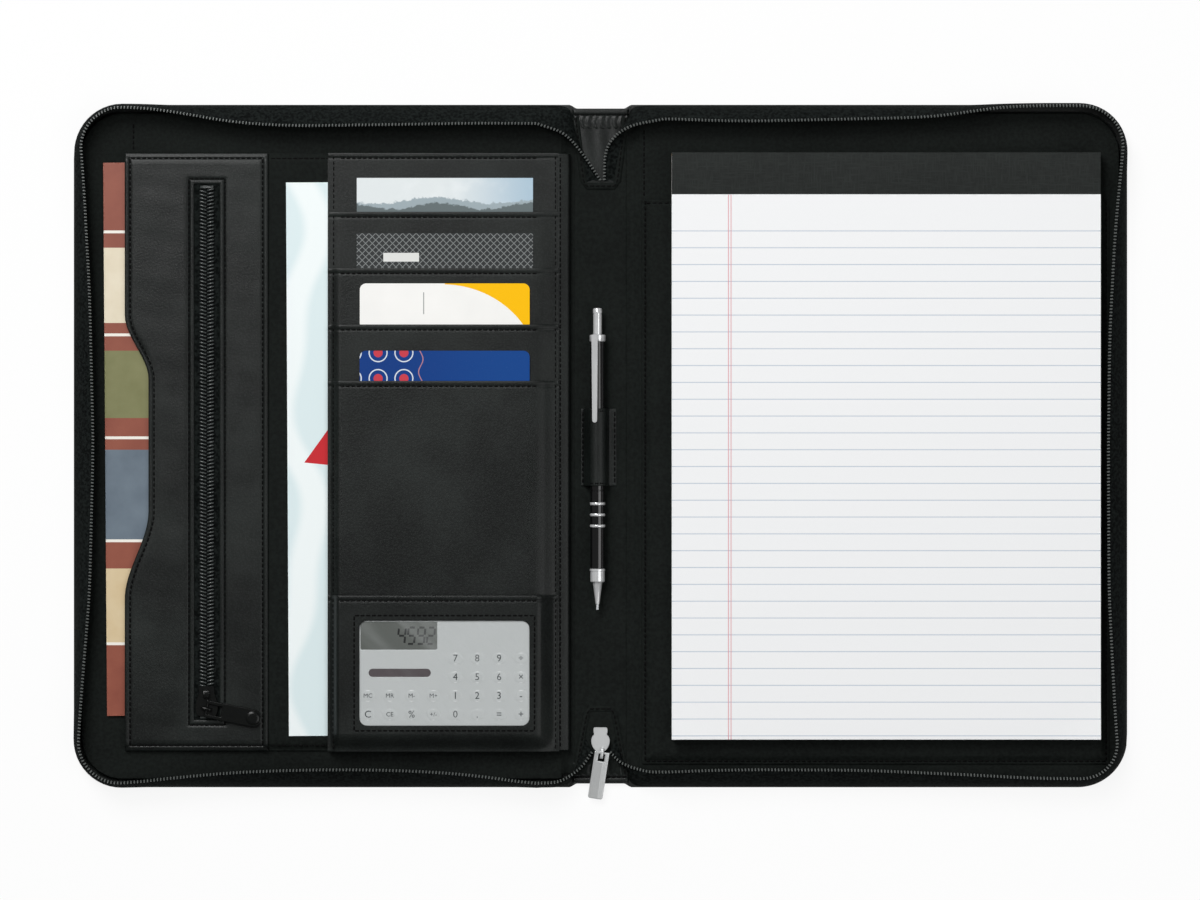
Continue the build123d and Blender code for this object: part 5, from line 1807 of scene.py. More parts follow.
@dataclass
class DocumentPocket:
    """Large pocket of the left cover: cloth panel with a thumb notch, leather strip and zip."""

    body: str = "left_cover"
    panel: Extent = solid("document_pocket_panel")
    strip: Extent = solid("zip_pocket_strip")
    tape: Extent = solid("zip_pocket_tape")
    coil: Extent = solid("zip_pocket_teeth")
    pouch: Extent = solid("zip_pocket_lining")
    notch_depth: float = 12.0
    notch_top: Pair = (66.0, 34.0)
    notch_foot: Pair = (-33.0, -77.0)
    anchor: float = 26.0
    slot_half: float = 6.3
    slot_ends: Pair = (-138.05, 132.05)
    seam: float = 2.8
    dip: float = 1.4
    pitch: float = 1.82
    cloth_t: float = 0.5
    tooth: Spot = (4.1, 1.0, 1.15)
    tooth_slant: float = 0.24

    def left_edge(self, y: Array) -> Array:
        """X of the left edge at each Y: straight, and set back along the thumb notch."""
        below = smooth(-y, -self.notch_top[0], -self.notch_top[1])
        above = smooth(y, self.notch_foot[1], self.notch_foot[0])
        return self.panel.low[0] + self.notch_depth * below * above

    def from_slot(self, x: Array, y: Array) -> Array:
        """Distance outside the zip slot, negative inside it."""
        across = np.abs(x - self.coil.middle[0]) - self.slot_half
        return np.round(np.maximum(across, np.maximum(self.slot_ends[0] - y, y - self.slot_ends[1])), 3)

    def notched(self, box: Extent) -> tuple[Array, Array, Array, Array, Array]:
        """Grid over a sheet whose left edge follows the thumb notch.

        Args:
            box: Extent of the sheet.

        Returns:
            X and Y, the distance from the outer edge, the distance from the upper or lower edge, and the
            mask of the cells outside the slot.
        """
        middle = self.coil.middle[0]
        lines_x = spaced(box.low[0], box.high[0], 4.0, (middle - self.slot_half, middle + self.slot_half))
        lines_y = spaced(box.low[1], box.high[1], 3.0, self.slot_ends)
        x, y = np.meshgrid(lines_x, lines_y, indexing="ij")
        left = self.left_edge(y)
        x = x + (left - box.low[0]) * np.clip((box.low[0] + self.anchor - x) / self.anchor, 0, 1)
        ends = np.minimum(y - box.low[1], box.high[1] - y)
        edge = np.clip(np.minimum(np.minimum(x - left, box.high[0] - x), ends), 0, None)
        keep = self.from_slot((x[:-1, :-1] + x[1:, 1:]) / 2, (y[:-1, :-1] + y[1:, 1:]) / 2) > 0
        return x, y, edge, ends, keep

    def cloth(self) -> Surface:
        """Cloth panel that dips to the lining along its sewn edges."""
        x, y, edge, ends, keep = self.notched(self.panel)
        near = np.minimum(edge, np.abs(self.from_slot(x, y)))
        sewn = np.minimum(ends, self.panel.high[0] - x)
        middle = self.panel.high[2] - self.cloth_t / 2 - self.dip * (1 - smooth(sewn, 0.5, 4.0))
        wave = (ripple(x, y, 30.0, 2.2) - 1) * 0.06 * smooth(edge, 2.0, 9.0)
        relief = (wave - furrow(ends, self.seam) * 0.15) * rolled(near, 0.4)
        return leaf(x, y, near, (middle - self.cloth_t / 2, middle + self.cloth_t / 2), 0.4, relief, keep)

    def leather_height(self, ends: Array) -> Array:
        """Middle height of the leather strip at a distance from its upper or lower edge."""
        return self.strip.middle[2] - self.dip * (1 - smooth(ends, 0.5, 4.0))

    def leather(self) -> Surface:
        """Leather strip with a folded band and a sewn line round its outer edge and round the slot."""
        x, y, edge, ends, keep = self.notched(self.strip)
        slot = np.abs(self.from_slot(x, y))
        near = np.minimum(edge, slot)
        fold = -0.4 * smooth(near, 1.9, 2.5)
        sewn = (furrow(edge, self.seam) + furrow(slot, self.seam)) * 0.35
        puff = ripple(x, y, 24.0, 0.5) * 0.14 * smooth(near, 3.0, 8.0)
        middle, half = self.leather_height(ends), self.strip.size[2] / 2
        relief = (fold - sewn + puff) * rolled(near, 0.9)
        return leaf(x, y, near, (middle - half, middle + half), 0.9, relief, keep)

    def chain(self) -> Surface:
        """Two rows of coil turns that meet in chevrons, with a stop at each end."""
        middle = self.coil.middle
        y = np.arange(self.slot_ends[0] + 3.0, self.slot_ends[1] - 3.0, self.pitch)
        rows = []
        for sign in (-1, 1):
            across = np.full(len(y), middle[0] + sign * 1.85)
            points = raised(np.column_stack([across, y + sign * self.pitch / 4]), middle[2])
            slant = (math.cos(self.tooth_slant), sign * math.sin(self.tooth_slant), 0.0)
            rows.append(strewn(bead(*self.tooth), points, np.tile(slant, (len(y), 1)), UP))
        for end in self.slot_ends:
            inward = -math.copysign(1.4, end)
            box = np.array([(3.4, 0.7), (-3.4, 0.7), (-3.4, -0.7), (3.4, -0.7)]) + (middle[0], end + inward)
            rows.append(prism(box, self.coil.low[2], self.coil.high[2], 0.25))
        return joined(rows)

    def tape_cloth(self) -> Surface:
        """Zip tape under the slot, its map laid along the zip for the herringbone."""
        tape = leaf(*oblong(self.tape.low, self.tape.high, 6.0), self.tape.heights, 0.2)
        tape.chart = tape.chart[:, ::-1] - (0.0, self.tape.middle[0])
        return tape

    def pouch_cloth(self) -> Surface:
        """Cloth of the zip pocket behind the slot, a little slack."""
        x, y, edge = oblong(self.pouch.low, self.pouch.high, 6.0)
        slack = ripple(x, y, 40.0, 3.0) * 0.04
        return leaf(x, y, edge, [z + slack for z in self.pouch.heights], 0.2)

    def seams(self) -> Surface:
        """Stitches round the strip and the slot, and along the hems of the cloth beside the strip."""
        low, high, inset = self.strip.low, self.strip.high, self.seam
        top = self.strip.size[2] / 2 - 0.55
        y = np.linspace(low[1] + inset, high[1] - inset, 200)
        z = self.leather_height(np.minimum(y - low[1], high[1] - y)) + top
        rows = [stitches(np.column_stack([self.left_edge(y) + inset, y, z])),
                stitches(np.column_stack([np.full(len(y), high[0] - inset), y, z]))]
        for line in (low[1] + inset, high[1] - inset):
            rows.append(stitches([(low[0] + inset, line, z[0]), (high[0] - inset, line, z[0])]))
            cloth_z = self.panel.high[2] - 0.42
            rows.append(stitches([(high[0] + 1.0, line, cloth_z), (self.panel.high[0] - 2.0, line, cloth_z)]))
        foot = (self.coil.middle[0] - self.slot_half - inset, self.slot_ends[0] - inset)
        head = (self.coil.middle[0] + self.slot_half + inset, self.slot_ends[1] + inset)
        return joined([*rows, stitched_box(foot, head, self.strip.middle[2] + top - 0.02)])

    def build(self) -> None:
        """Makes the panel, strip, zip and pouch, and their stitches."""
        cloth = place("document_pocket_cloth", self.cloth(), LINING, "lining_cloth", self.body,
                      ["document_pocket_panel"])
        self.panel.size
        leather = place("zip_strip_leather", self.leather(), INNER_LEATHER, "inner_leather", self.body,
                        ["zip_pocket_strip"])
        self.strip.size
        tape = place("zip_tape_cloth", self.tape_cloth(), TAPE, "zipper_tape", self.body, ["zip_pocket_tape"])
        self.tape.size
        place("zip_coil_chain", self.chain(), ZIP_COIL, "zipper_teeth", self.body, ["zip_pocket_teeth"])
        pouch = place("zip_pouch_cloth", self.pouch_cloth(), LINING, "lining_cloth", self.body,
                      ["zip_pocket_lining"])
        self.pouch.size
        place("zip_strip_stitches", self.seams(), THREAD, "inner_leather", self.body)


@dataclass
class Organizer:
    """Stepped card pockets and the window pocket, all sewn to one leather backing on the left cover."""

    body: str = "left_cover"
    backing: Extent = solid("organizer_backing")
    window: Extent = solid("window_pocket_panel")
    film: Extent = solid("window_film")
    pocket_count: int = 4
    leather_t: float = 0.4
    window_t: float = 0.5
    layer_step: float = 0.4
    margin_left: float = 1.2
    margin_right: float = 0.9
    ramp_left: float = 5.0
    ramp_right: float = 10.0
    fold: float = 2.0
    foot_run: float = 9.0
    seam_left: float = 3.0
    seam_right: float = 1.7
    opening_low: Pair = (-121.25, -140.55)
    opening_high: Pair = (-35.75, -87.85)
    opening_round: float = 4.0
    opening_seam: float = 2.6
    bend_start: float = -19.0
    bend_end: float = -13.0
    border: Sequence[Pair] = ((-21.6, 6.9), (-19.6, 6.75), (-17.0, 6.3), (-16.0, 5.6), (-15.6, 4.2),
                              (-15.3, 2.6))

    def pocket_box(self, number: int) -> Extent:
        """Extent of one card pocket, from the height of its sewn margins up."""
        box = Extent.of("card_pocket_%d" % number)
        base = self.backing.high[2] + (number - 1) * self.layer_step
        return Extent(np.array([box.low[0], box.low[1], base]), box.high)

    def rise(self, x: Array) -> Array:
        """Share of a pocket's rise: nought over the sewn margins, one over the cards."""
        left = self.backing.low[0] + self.margin_left
        right = self.backing.high[0] - self.margin_right
        return smooth(x, left, left + self.ramp_left) * smooth(-x, -right, -right + self.ramp_right)

    def layer(self, box: Extent, x: Array, y: Array, edge: Array, t: float, foot_share: float,
              keep: Optional[Array] = None) -> Surface:
        """Leather layer that rises from its margins, and is thinner below a folded band along its top.

        Args:
            box: Extent of the layer.
            x: X of the grid.
            y: Y of the grid.
            edge: Distance from the nearest edge.
            t: Thickness.
            foot_share: Share of the rise that is left at the lower edge.
            keep: Mask of the cells that exist.

        Returns:
            The closed sheet.
        """
        from_top = box.high[1] - y
        share = self.rise(x) * (foot_share + (1 - foot_share) * smooth(y - box.low[1], 0.5, self.foot_run))
        low = box.low[2] + (box.size[2] - t) * share
        fold = 0.04 - 0.22 * smooth(from_top, self.fold - 0.25, self.fold + 0.25)
        sewn = furrow(from_top, self.fold + 0.7, 0.5) * 0.14
        puff = (ripple(x, y, 31.0, box.high[1]) - 1) * 0.02 * smooth(edge, 3.0, 12.0)
        return leaf(x, y, edge, (low, low + t), 0.8, (fold - sewn + puff) * rolled(edge, 0.8), keep)

    def pocket(self, number: int) -> Surface:
        """One card pocket; the last one runs down to the foot and is sewn there."""
        box = self.pocket_box(number)
        edges = (self.backing.low[0] + self.margin_left, self.backing.high[0] - self.margin_right)
        x, y, edge = oblong(box.low, box.high, 4.0, marks_x=edges)
        return self.layer(box, x, y, edge, self.leather_t, 0.0 if number == self.pocket_count else 1.0)

    def window_frame(self) -> Surface:
        """Window panel: a ring of leather whose opening has round corners."""
        box = self.window
        edges = (self.opening_low[0], self.opening_high[0], self.backing.low[0] + self.margin_left,
                 self.backing.high[0] - self.margin_right)
        x, y, edge = oblong(box.low, box.high, 3.0, edges, (self.opening_low[1], self.opening_high[1]))
        x, y, hole, keep = cut_out(x, y, self.opening_low, self.opening_high, self.opening_round)
        near = np.minimum(edge, np.clip(hole, 0, None))
        return self.layer(box, x, y, near, self.window_t, 0.25, keep)

    def backing_sheet(self) -> Surface:
        """Backing under all the pockets, with the same folded edge as theirs along its top."""
        high = self.backing.high
        box = Extent(np.array([*self.backing.low[:2], high[2] - self.leather_t]), high)
        x, y, edge = oblong(box.low, high, 5.0, marks_y=(high[1] - self.fold,))
        return self.layer(box, x, y, edge, self.leather_t, 1.0)

    def film_sheet(self) -> Surface:
        """Flat clear film behind the opening."""
        return leaf(*oblong(self.film.low, self.film.high, 5.0), self.film.heights, 0.2)

    def seams(self) -> Surface:
        """Stitches along both sewn margins, below each folded edge, and round the opening."""
        boxes = [self.backing] + [self.pocket_box(k + 1) for k in range(self.pocket_count)] + [self.window]
        tops = [box.high[1] for box in boxes] + [self.backing.low[1]]
        left = self.backing.low[0] + self.seam_left
        right = self.backing.high[0] - self.seam_right
        flat_left = self.backing.low[0] + self.margin_left + self.ramp_left
        flat_right = self.backing.high[0] - self.margin_right - self.ramp_right
        rows = []
        for k, box in enumerate(boxes):
            t = self.window_t if box is self.window else self.leather_t
            base = box.high[2] - t if k == 0 else box.low[2]
            for x in (left, right):
                z = base + (box.high[2] - t - base) * float(self.rise(np.array(x))) + t - 0.3
                rows.append(stitches([(x, tops[k] - 1.0, z), (x, tops[k + 1] + 1.0, z)]))
            line = tops[k] - self.fold - 0.7
            z = box.high[2] - 0.25
            rows.append(stitches([(flat_left, line, z), (flat_right, line, z)]))
        low = np.array(self.opening_low) - self.opening_seam
        high = np.array(self.opening_high) + self.opening_seam
        return joined([*rows, stitched_box(low, high, self.window.high[2] - 0.12)])

    def build(self) -> None:
        """Makes the backing, pockets, window and film, and their stitches."""
        layers = [("organizer_leather", self.backing_sheet(), "organizer_backing", self.backing)]
        for number in range(1, self.pocket_count + 1):
            name = "card_pocket_%d" % number
            layers.append((name + "_leather", self.pocket(number), name, self.pocket_box(number)))
        layers += [("window_frame_leather", self.window_frame(), "window_pocket_panel", self.window),
                   ("window_clear_film", self.film_sheet(), "window_film", self.film)]
        for name, shape, node, box in layers:
            finish, slot = (FILM, "clear_film") if box is self.film else (INNER_LEATHER, "inner_leather")
            piece = place(name, shape, finish, slot, self.body, [node])
            box.size
        bend = Bend(self.body, "spine", (self.bend_start, 0, 0), (self.bend_end, 0, 0))
        run = spaced(self.backing.low[1] + 0.4, self.backing.high[1] - 0.4, 6.0)
        edge = strap(spline(self.border, 6), run, 0.5)
        piece = place("organizer_border_leather", edge, INNER_LEATHER, "inner_leather", bend)
        x, z = self.border[1][0] - 0.7, self.border[1][1] + 0.3
        row = stitches([(x, self.backing.low[1] + 2.0, z), (x, self.backing.high[1] - 2.0, z)])
        place("organizer_stitches", self.seams() + row, THREAD, "inner_leather", self.body)


@dataclass
class LoosePaper:
    """Paper held by a pocket: a printed leaf, on a stack of plain leaves if it is a magazine."""

    name: str
    motif: Motif
    size: Pair
    turn: float
    leaf_t: float = 0.2

    def leaf(self, box: Extent, z0: float, z1: float, inset: float) -> Surface:
        """One flat leaf, turned about the middle of its box.

        Args:
            box: Extent of the paper's solid.
            z0: Underside.
            z1: Upper side.
            inset: How much smaller it is on each side.

        Returns:
            The closed sheet.
        """
        half = np.array(self.size) / 2 - inset
        u, v, edge = oblong(-half, half, 14.0)
        x, y = turned(u, v, self.turn)
        return leaf(box.middle[0] + x, box.middle[1] + y, edge, (z0, z1), 0.1)

    def build(self) -> None:
        """Makes the printed leaf and any leaves below it."""
        box = Extent.of(self.name)
        finish = Print(self.name + "_print", self.motif, tuple(box.middle[:2].tolist()), gloss=0.35)
        slot = self.name + "_paper"
        top = box.high[2]
        below = top - self.leaf_t
        sheet = self.leaf(box, max(below, box.low[2]), top, 0.0)
        printed = place(self.name + "_printed_leaf", sheet, finish, slot, self.name, [self.name])
        self.size
        count = int((below - box.low[2]) / (2 * self.leaf_t))
        if count:
            step = 2 * self.leaf_t
            leaves = [self.leaf(box, below - (k + 1) * step + 0.04, below - k * step, 0.25 + 0.2 * (k % 2))
                      for k in range(count)]
            place(self.name + "_inner_leaves", joined(leaves), BLOCK_PAPER, slot, self.name)


BOX = np.array([(1.0, -1.0), (1.0, 1.0), (-1.0, 1.0), (-1.0, -1.0)])
SEGMENTS = {"0": "abcdef", "1": "bc", "2": "abdeg", "3": "abcdg", "4": "bcfg", "5": "acdfg", "6": "acdefg",
            "7": "abc", "8": "abcdefg", "9": "abcdfg"}


@dataclass
class Calculator:
    """Flat calculator behind the window: the part's solids, one skin with key domes, digits and legends."""

    body: str = "calculator"
    shown: str = "4592"
    digit_size: Pair = (3.5, 8.2)
    digit_step: float = 4.9
    stroke: float = 1.0
    lean: float = 0.1
    right_inset: float = 3.2
    skin_inset: float = 1.6
    skin_t: float = 0.06
    dome_half: Pair = (3.4, 2.9)
    dome_round: float = 2.7
    column_first: float = -38.5
    column_step: float = 11.0
    row_first: float = 7.35
    row_step: float = 9.4
    legend_size: float = 5.0
    case: Extent = solid("calculator_case")
    display: Extent = solid("calculator_display")
    solar: Extent = solid("calculator_solar_cell")
    keys: Extent = solid("calculator_keys")

    def digit(self, char: str, x: float, y: float, z: float) -> list[Surface]:
        """Strokes of one seven-stroke digit, sheared to lean.

        Args:
            char: The digit.
            x: X of its middle.
            y: Y of its middle.
            z: Height of the display.

        Returns:
            One thin plate for each stroke.
        """
        w, h = self.digit_size[0] / 2, self.digit_size[1] / 2
        s = self.stroke / 2
        level, upright = (w - s, s), (s, h / 2 - s)
        spots = {"a": (0, h, level), "b": (w, h / 2, upright), "c": (w, -h / 2, upright), "d": (0, -h, level),
                 "e": (-w, -h / 2, upright), "f": (-w, h / 2, upright), "g": (0, 0, level)}
        strokes = []
        for letter in SEGMENTS[char]:
            mid_x, mid_y, half = spots[letter]
            corners = BOX * half + (mid_x, mid_y)
            corners[:, 0] += corners[:, 1] * self.lean
            strokes.append(prism(corners + (x, y), z, z + 0.04, 0.01))
        return strokes

    def digits(self) -> Surface:
        """The shown number at the right of the display."""
        right = self.display.high[0] - self.right_inset
        y, z = self.display.middle[1], self.display.high[2]
        return joined([stroke for k, char in enumerate(self.shown[::-1])
                       for stroke in self.digit(char, right - k * self.digit_step, y, z)])

    def key_spots(self) -> list[tuple[str, float, float]]:
        """Legend and middle of each key; the upper two rows begin at the fifth column."""
        rows = [["", "", "", "", "7", "8", "9", "÷"], ["", "", "", "", "4", "5", "6", "×"],
                ["MC", "MR", "M-", "M+", "1", "2", "3", "-"], ["C", "CE", "%", "+/-", "0", ".", "=", "+"]]
        x0, y0 = self.case.middle[:2] + (self.column_first, self.row_first)
        return [(text, x0 + i * self.column_step, y0 - j * self.row_step)
                for j, row in enumerate(rows) for i, text in enumerate(row) if text]

    def membrane(self) -> Surface:
        """Thin skin over the face with a low dome for each key, open over the display and the solar cell."""
        low = self.case.low[:2] + self.skin_inset
        high = self.case.high[:2] - self.skin_inset
        ends = np.array([self.display.low, self.display.high, self.solar.low, self.solar.high])
        x, y, edge = oblong(low, high, 0.6, ends[:, 0], ends[:, 1])
        x, y, from_display, keep = cut_out(x, y, self.display.low, self.display.high, 0.8)
        x, y, from_cell, kept = cut_out(x, y, self.solar.low, self.solar.high, self.solar.size[1] / 2)
        near = np.minimum(edge, np.clip(np.minimum(from_display, from_cell), 0, None))
        base = self.display.high[2]
        dome = np.zeros_like(x)
        for _, key_x, key_y in self.key_spots():
            over_x = np.clip(np.abs(x - key_x) - self.dome_half[0] + self.dome_round, 0, None)
            over_y = np.clip(np.abs(y - key_y) - self.dome_half[1] + self.dome_round, 0, None)
            out = smooth(np.hypot(over_x, over_y), self.dome_round - 0.7, self.dome_round)
            dome = np.maximum(dome, 1 - out)
        rise = self.skin_t * rolled(near, 0.3) + (self.keys.high[2] - base - self.skin_t) * dome
        return pillow(x, y, np.full_like(x, base), base + rise, keep & kept)

    def rims(self) -> Surface:
        """Low rounded rim about each key, coloured lighter than the face as a painted highlight."""
        turn = np.linspace(0, 2 * math.pi, 17)[:, None]
        c, s = circle(4)
        reach = self.dome_round + 0.22 * c
        rows = np.broadcast_arrays(reach * np.cos(turn), reach * np.sin(turn), 0.05 * s)
        ring = patch(np.stack(rows, axis=-1), wrap=True)
        places = np.array([(x, y, self.display.high[2] + self.skin_t) for _, x, y in self.key_spots()])
        return strewn(ring, places, np.tile((1.0, 0.0, 0.0), (len(places), 1)), UP)

    def legends(self) -> Piece:
        """Key legends: each text is made a mesh, moved to its key and joined to the others."""
        work = bmesh.new()
        for text, x, y in self.key_spots():
            mesh = self.text_mesh(text, self.legend_size if len(text) == 1 else self.legend_size * 0.62)
            spots = np.empty(len(mesh.vertices) * 3, dtype=np.float32)
            mesh.vertices.foreach_get("co", spots)
            spots = spots.reshape(-1, 3) + np.array([x, y, self.keys.high[2] + 0.02]) * MM
            mesh.vertices.foreach_set("co", spots.astype(np.float32).ravel())
            work.from_mesh(mesh)
            bpy.data.meshes.remove(mesh)
        bmesh.ops.triangulate(work, faces=work.faces)
        mesh = bpy.data.meshes.new("calculator_legends")
        work.to_mesh(mesh)
        work.free()
        mesh.materials.clear()
        mesh.materials.append(LEGEND_INK.material())
        piece = bpy.data.objects.new("calculator_legends", mesh)
        bpy.context.scene.collection.objects.link(piece)
        return piece

    @staticmethod
    def text_mesh(text: str, size: float) -> bpy.types.Mesh:
        """Flat mesh of one legend about the origin.

        Args:
            text: The legend.
            size: Height of its font.

        Returns:
            The mesh.
        """
        curve = bpy.data.curves.new("legend", "FONT")
        curve.body = text
        curve.size = size * MM
        curve.align_x = "CENTER"
        curve.align_y = "CENTER"
        curve.resolution_u = 3
        curve.extrude = 0.01 * MM
        holder = bpy.data.objects.new("legend", curve)
        bpy.context.scene.collection.objects.link(holder)
        mesh = bpy.data.meshes.new_from_object(holder.evaluated_get(bpy.context.evaluated_depsgraph_get()))
        bpy.data.objects.remove(holder)
        bpy.data.curves.remove(curve)
        return mesh

    def build(self) -> None:
        """Dresses the solids, and makes the digits and legends."""
        for node, finish in (("case", CALC_SILVER), ("face", CALC_SILVER), ("circuit_board", LAMINATE),
                             ("display", CALC_LCD), ("solar_cell", CALC_SOLAR)):
            dress("calculator_" + node, finish)
        place("calculator_membrane", self.membrane(), CALC_SILVER, "calculator_key", self.body,
              ["calculator_keys"])
        place("calculator_key_rims", self.rims(), KEY_RIM_PAINTED_HIGHLIGHT, "calculator_key", self.body)
        place("calculator_digits", self.digits(), DISPLAY_INK, "calculator_lcd", self.body)
        legends = self.legends()
        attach(legends, self.body)


@dataclass
class Slider:
    """Zip slider: two shield-shaped plates on a post, the bridge on top, and the pull that hangs from it."""

    name: str
    pull_node: str
    finish: Finish
    slot: str
    half_outline: Sequence[Pair]
    plate_heights: FOUR
    pivot: Spot
    angle: float
    droop: float
    pull_size: Spot
    pull_round: float
    disc: float = 0.0
    facet: float = 0.0
    ridge: Optional[FOUR] = None
    middle: Pair = (0.0, 0.0)
    eye: Pair = (4.3, 3.2)
    bridge_half: float = 2.55
    bridge_width: float = 1.6
    bridge_t: float = 0.84

    def outline(self) -> Array:
        """Outline of the plates, counterclockwise from the lowest point."""
        half = spline(self.half_outline, 4)
        return np.vstack([half[::-1], half[1:-1] * (-1.0, 1.0)]) + self.middle

    def bridge(self) -> Surface:
        """Flat bar bent to an arch over the pull's cross-bar, along the pull, and the lug under it."""
        turn = np.linspace(math.pi, 0, 17)
        base = self.plate_heights[3] - 0.5
        top = self.pivot[2] + self.pull_size[2] / 2 + 0.3 + self.bridge_t / 2
        along = self.bridge_half * np.abs(np.cos(turn)) ** 0.5 * np.sign(np.cos(turn))
        rise = base + (top - base) * np.abs(np.sin(turn)) ** 0.5
        x, y = turned(along, 0.0, self.angle)
        path = np.column_stack([self.pivot[0] + x, self.pivot[1] + y, rise])
        arch = tube(path, self.bridge_width / 2, 10, flat=self.bridge_t / self.bridge_width)
        corners = BOX * (self.bridge_half + 0.42, self.bridge_width / 2)
        plan = np.column_stack(turned(*corners.T, self.angle)) + self.pivot[:2]
        return arch + prism(plan, self.plate_heights[2], self.plate_heights[3], 0.12)

    def body(self) -> Surface:
        """Both plates, the post between them, the bridge, and a ridge if there is one."""
        z0, z1, z2, z3 = self.plate_heights
        head = self.half_outline[0][1] - 1.1
        post = BOX * (0.4, 2.0) + (0.0, head - 2.0) + self.middle
        total = [prism(self.outline(), z0, z1, 0.15), prism(self.outline(), z2, z3, 0.22),
                 prism(post, z1, z2, 0.05), self.bridge()]
        if self.ridge:
            low, high, half, top = self.ridge
            box = BOX * (half, (high - low) / 2) + (0.0, (low + high) / 2) + self.middle
            total.append(prism(box, z3 - 0.2, top, 0.45, crown=0.2))
        return joined(total)

    def pull(self) -> Surface:
        """Flat pull with an eye at its bar and a round or square end, drooping from its pivot."""
        length, width, t = self.pull_size
        start = -t / 2
        u = spaced(start, length, 1.5, (t / 2, self.eye[0], length - self.pull_round))[:, None]
        v = spaced(-width / 2, width / 2, 1.0, (-self.eye[1] / 2, self.eye[1] / 2))[None]
        past = np.clip(u - (length - self.pull_round), 0, self.pull_round)
        half = width / 2 - self.pull_round + np.sqrt(self.pull_round ** 2 - past ** 2)
        across = v * half / (width / 2)
        u, across, half = np.broadcast_arrays(u, across, half)
        rim = np.minimum(half - np.abs(across), np.minimum(length - u, u - start))
        middles = [(grid[:-1, :-1] + grid[1:, 1:]) / 2 for grid in (u, across)]
        hole, from_eye = (np.maximum(np.abs(q) - self.eye[1] / 2, np.maximum(t / 2 - p, p - self.eye[0]))
                          for p, q in ((u, across), middles))
        near = np.clip(np.minimum(rim, np.round(np.abs(hole), 3)), 0, None)
        thick = t / 2 * rolled(near, 0.4)
        off = across - width * 0.12
        facet = self.facet * (np.clip(off, 0, None) * 1.6 + np.clip(-off, 0, None) * 0.5)
        surface = pillow(u, across, -thick, thick * (1 - facet), from_eye > 0)
        if self.disc:
            ring = np.column_stack(circle(36)) * self.disc + (length - self.pull_round, 0.0)
            surface = surface + prism(ring, 0.0, t / 2 + 0.3, 0.3)
        x, y, z = surface.points.T
        x, z = turned(x, z, -self.droop)
        x, y = turned(x, y, self.angle)
        surface.points = np.column_stack([x, y, z]) + self.pivot
        return surface

    def build(self) -> None:
        """Makes the slider and its pull."""
        place(self.name + "_slider_plates", self.body(), self.finish, self.slot, self.name + "_slider",
              [self.name + "_slider_body"], sharp=40)
        place(self.name + "_pull_plate", self.pull(), self.finish, self.slot, self.name + "_pull",
              [self.pull_node], sharp=60)


@dataclass
class Set:
    """Floor, camera and soft lights of the photograph."""

    floor_half: float = 2.5
    floor_drop: float = 0.0003
    camera_at: Spot = (-0.00025, -0.002, 2.2)
    lens: float = 130.4
    world: float = 0.15

    def light(self, name: str, spot: Spot, size: float, watts: float) -> None:
        """Square soft light that faces the middle of the object.

        Args:
            name: Its name.
            spot: Its place in metres.
            size: Length of its sides in metres.
            watts: Its strength.
        """
        lamp = bpy.data.lights.new(name, "AREA")
        lamp.size = size
        lamp.energy = watts
        piece = bpy.data.objects.new(name, lamp)
        piece.location = spot
        pitch = math.atan2(math.hypot(spot[0], spot[1]), spot[2])
        piece.rotation_euler = (pitch, 0.0, math.atan2(spot[0], -spot[1]))
        bpy.context.scene.collection.objects.link(piece)

    def build(self) -> None:
        """Makes the floor, the world, the lights and the camera."""
        line = np.linspace(-self.floor_half, self.floor_half, 3) / MM
        x, y, level = np.meshgrid(line, line, -self.floor_drop / MM, indexing="ij")
        grid = np.concatenate([x, y, level], axis=-1)
        floor = make_object("floor", patch(grid), Studio("floor", "#F4F4F4", 0.88))
        world = bpy.data.worlds.new("soft_room")
        world.use_nodes = True
        background = world.node_tree.nodes["Background"].inputs
        background["Color"].default_value = (1.0, 1.0, 1.0, 1.0)
        background["Strength"].default_value = self.world
        bpy.context.scene.world = world
        self.light("key_light", (-0.9, 1.7, 1.9), 1.2, 54.0)
        self.light("sheen_light", (-0.5, 0.6, 1.9), 0.4, 8.0)
        self.light("fill_light", (0.9, -0.4, 1.5), 1.2, 8.0)
        view = bpy.data.cameras.new("camera")
        view.lens = self.lens
        view.sensor_width = 36.0
        view.clip_end = 20.0
        camera = bpy.data.objects.new("camera", view)
        camera.location = self.camera_at
        bpy.context.scene.collection.objects.link(camera)
        bpy.context.scene.camera = camera
        bpy.context.scene.view_settings.view_transform = "Standard"


# Distance along each cover's edge from the top of the spine, and how far the zipper wall leans in there.
RIGHT_LEANS = ((0, 8.0), (20, 8.9), (44, 9.3), (100, 8.1), (128, 7.5), (145, 6.1), (165, 2.6), (184, 1.5),
               (229, 1.6), (249, 4.0), (287, 7.6), (340, 10.4), (396, 11.1), (470, 10.8), (530, 7.8),
               (564, 5.2), (608, 5.6), (637, 7.2), (693, 9.6), (749, 9.9), (775, 9.4), (793, 8.5))
LEFT_LEANS = ((0, 10.5), (30, 10.3), (66, 10.9), (124, 11.7), (154, 9.8), (182, 4.6), (205, 1.8), (229, 3.4),
              (258, 6.3), (320, 9.6), (396, 11.4), (470, 9.6), (520, 5.6), (546, 3.8), (565, 3.2),
              (583, 2.8), (610, 5.8), (639, 8.4), (669, 9.6), (698, 9.9), (727, 9.4), (756, 7.6),
              (780, 4.6), (793, 2.5))
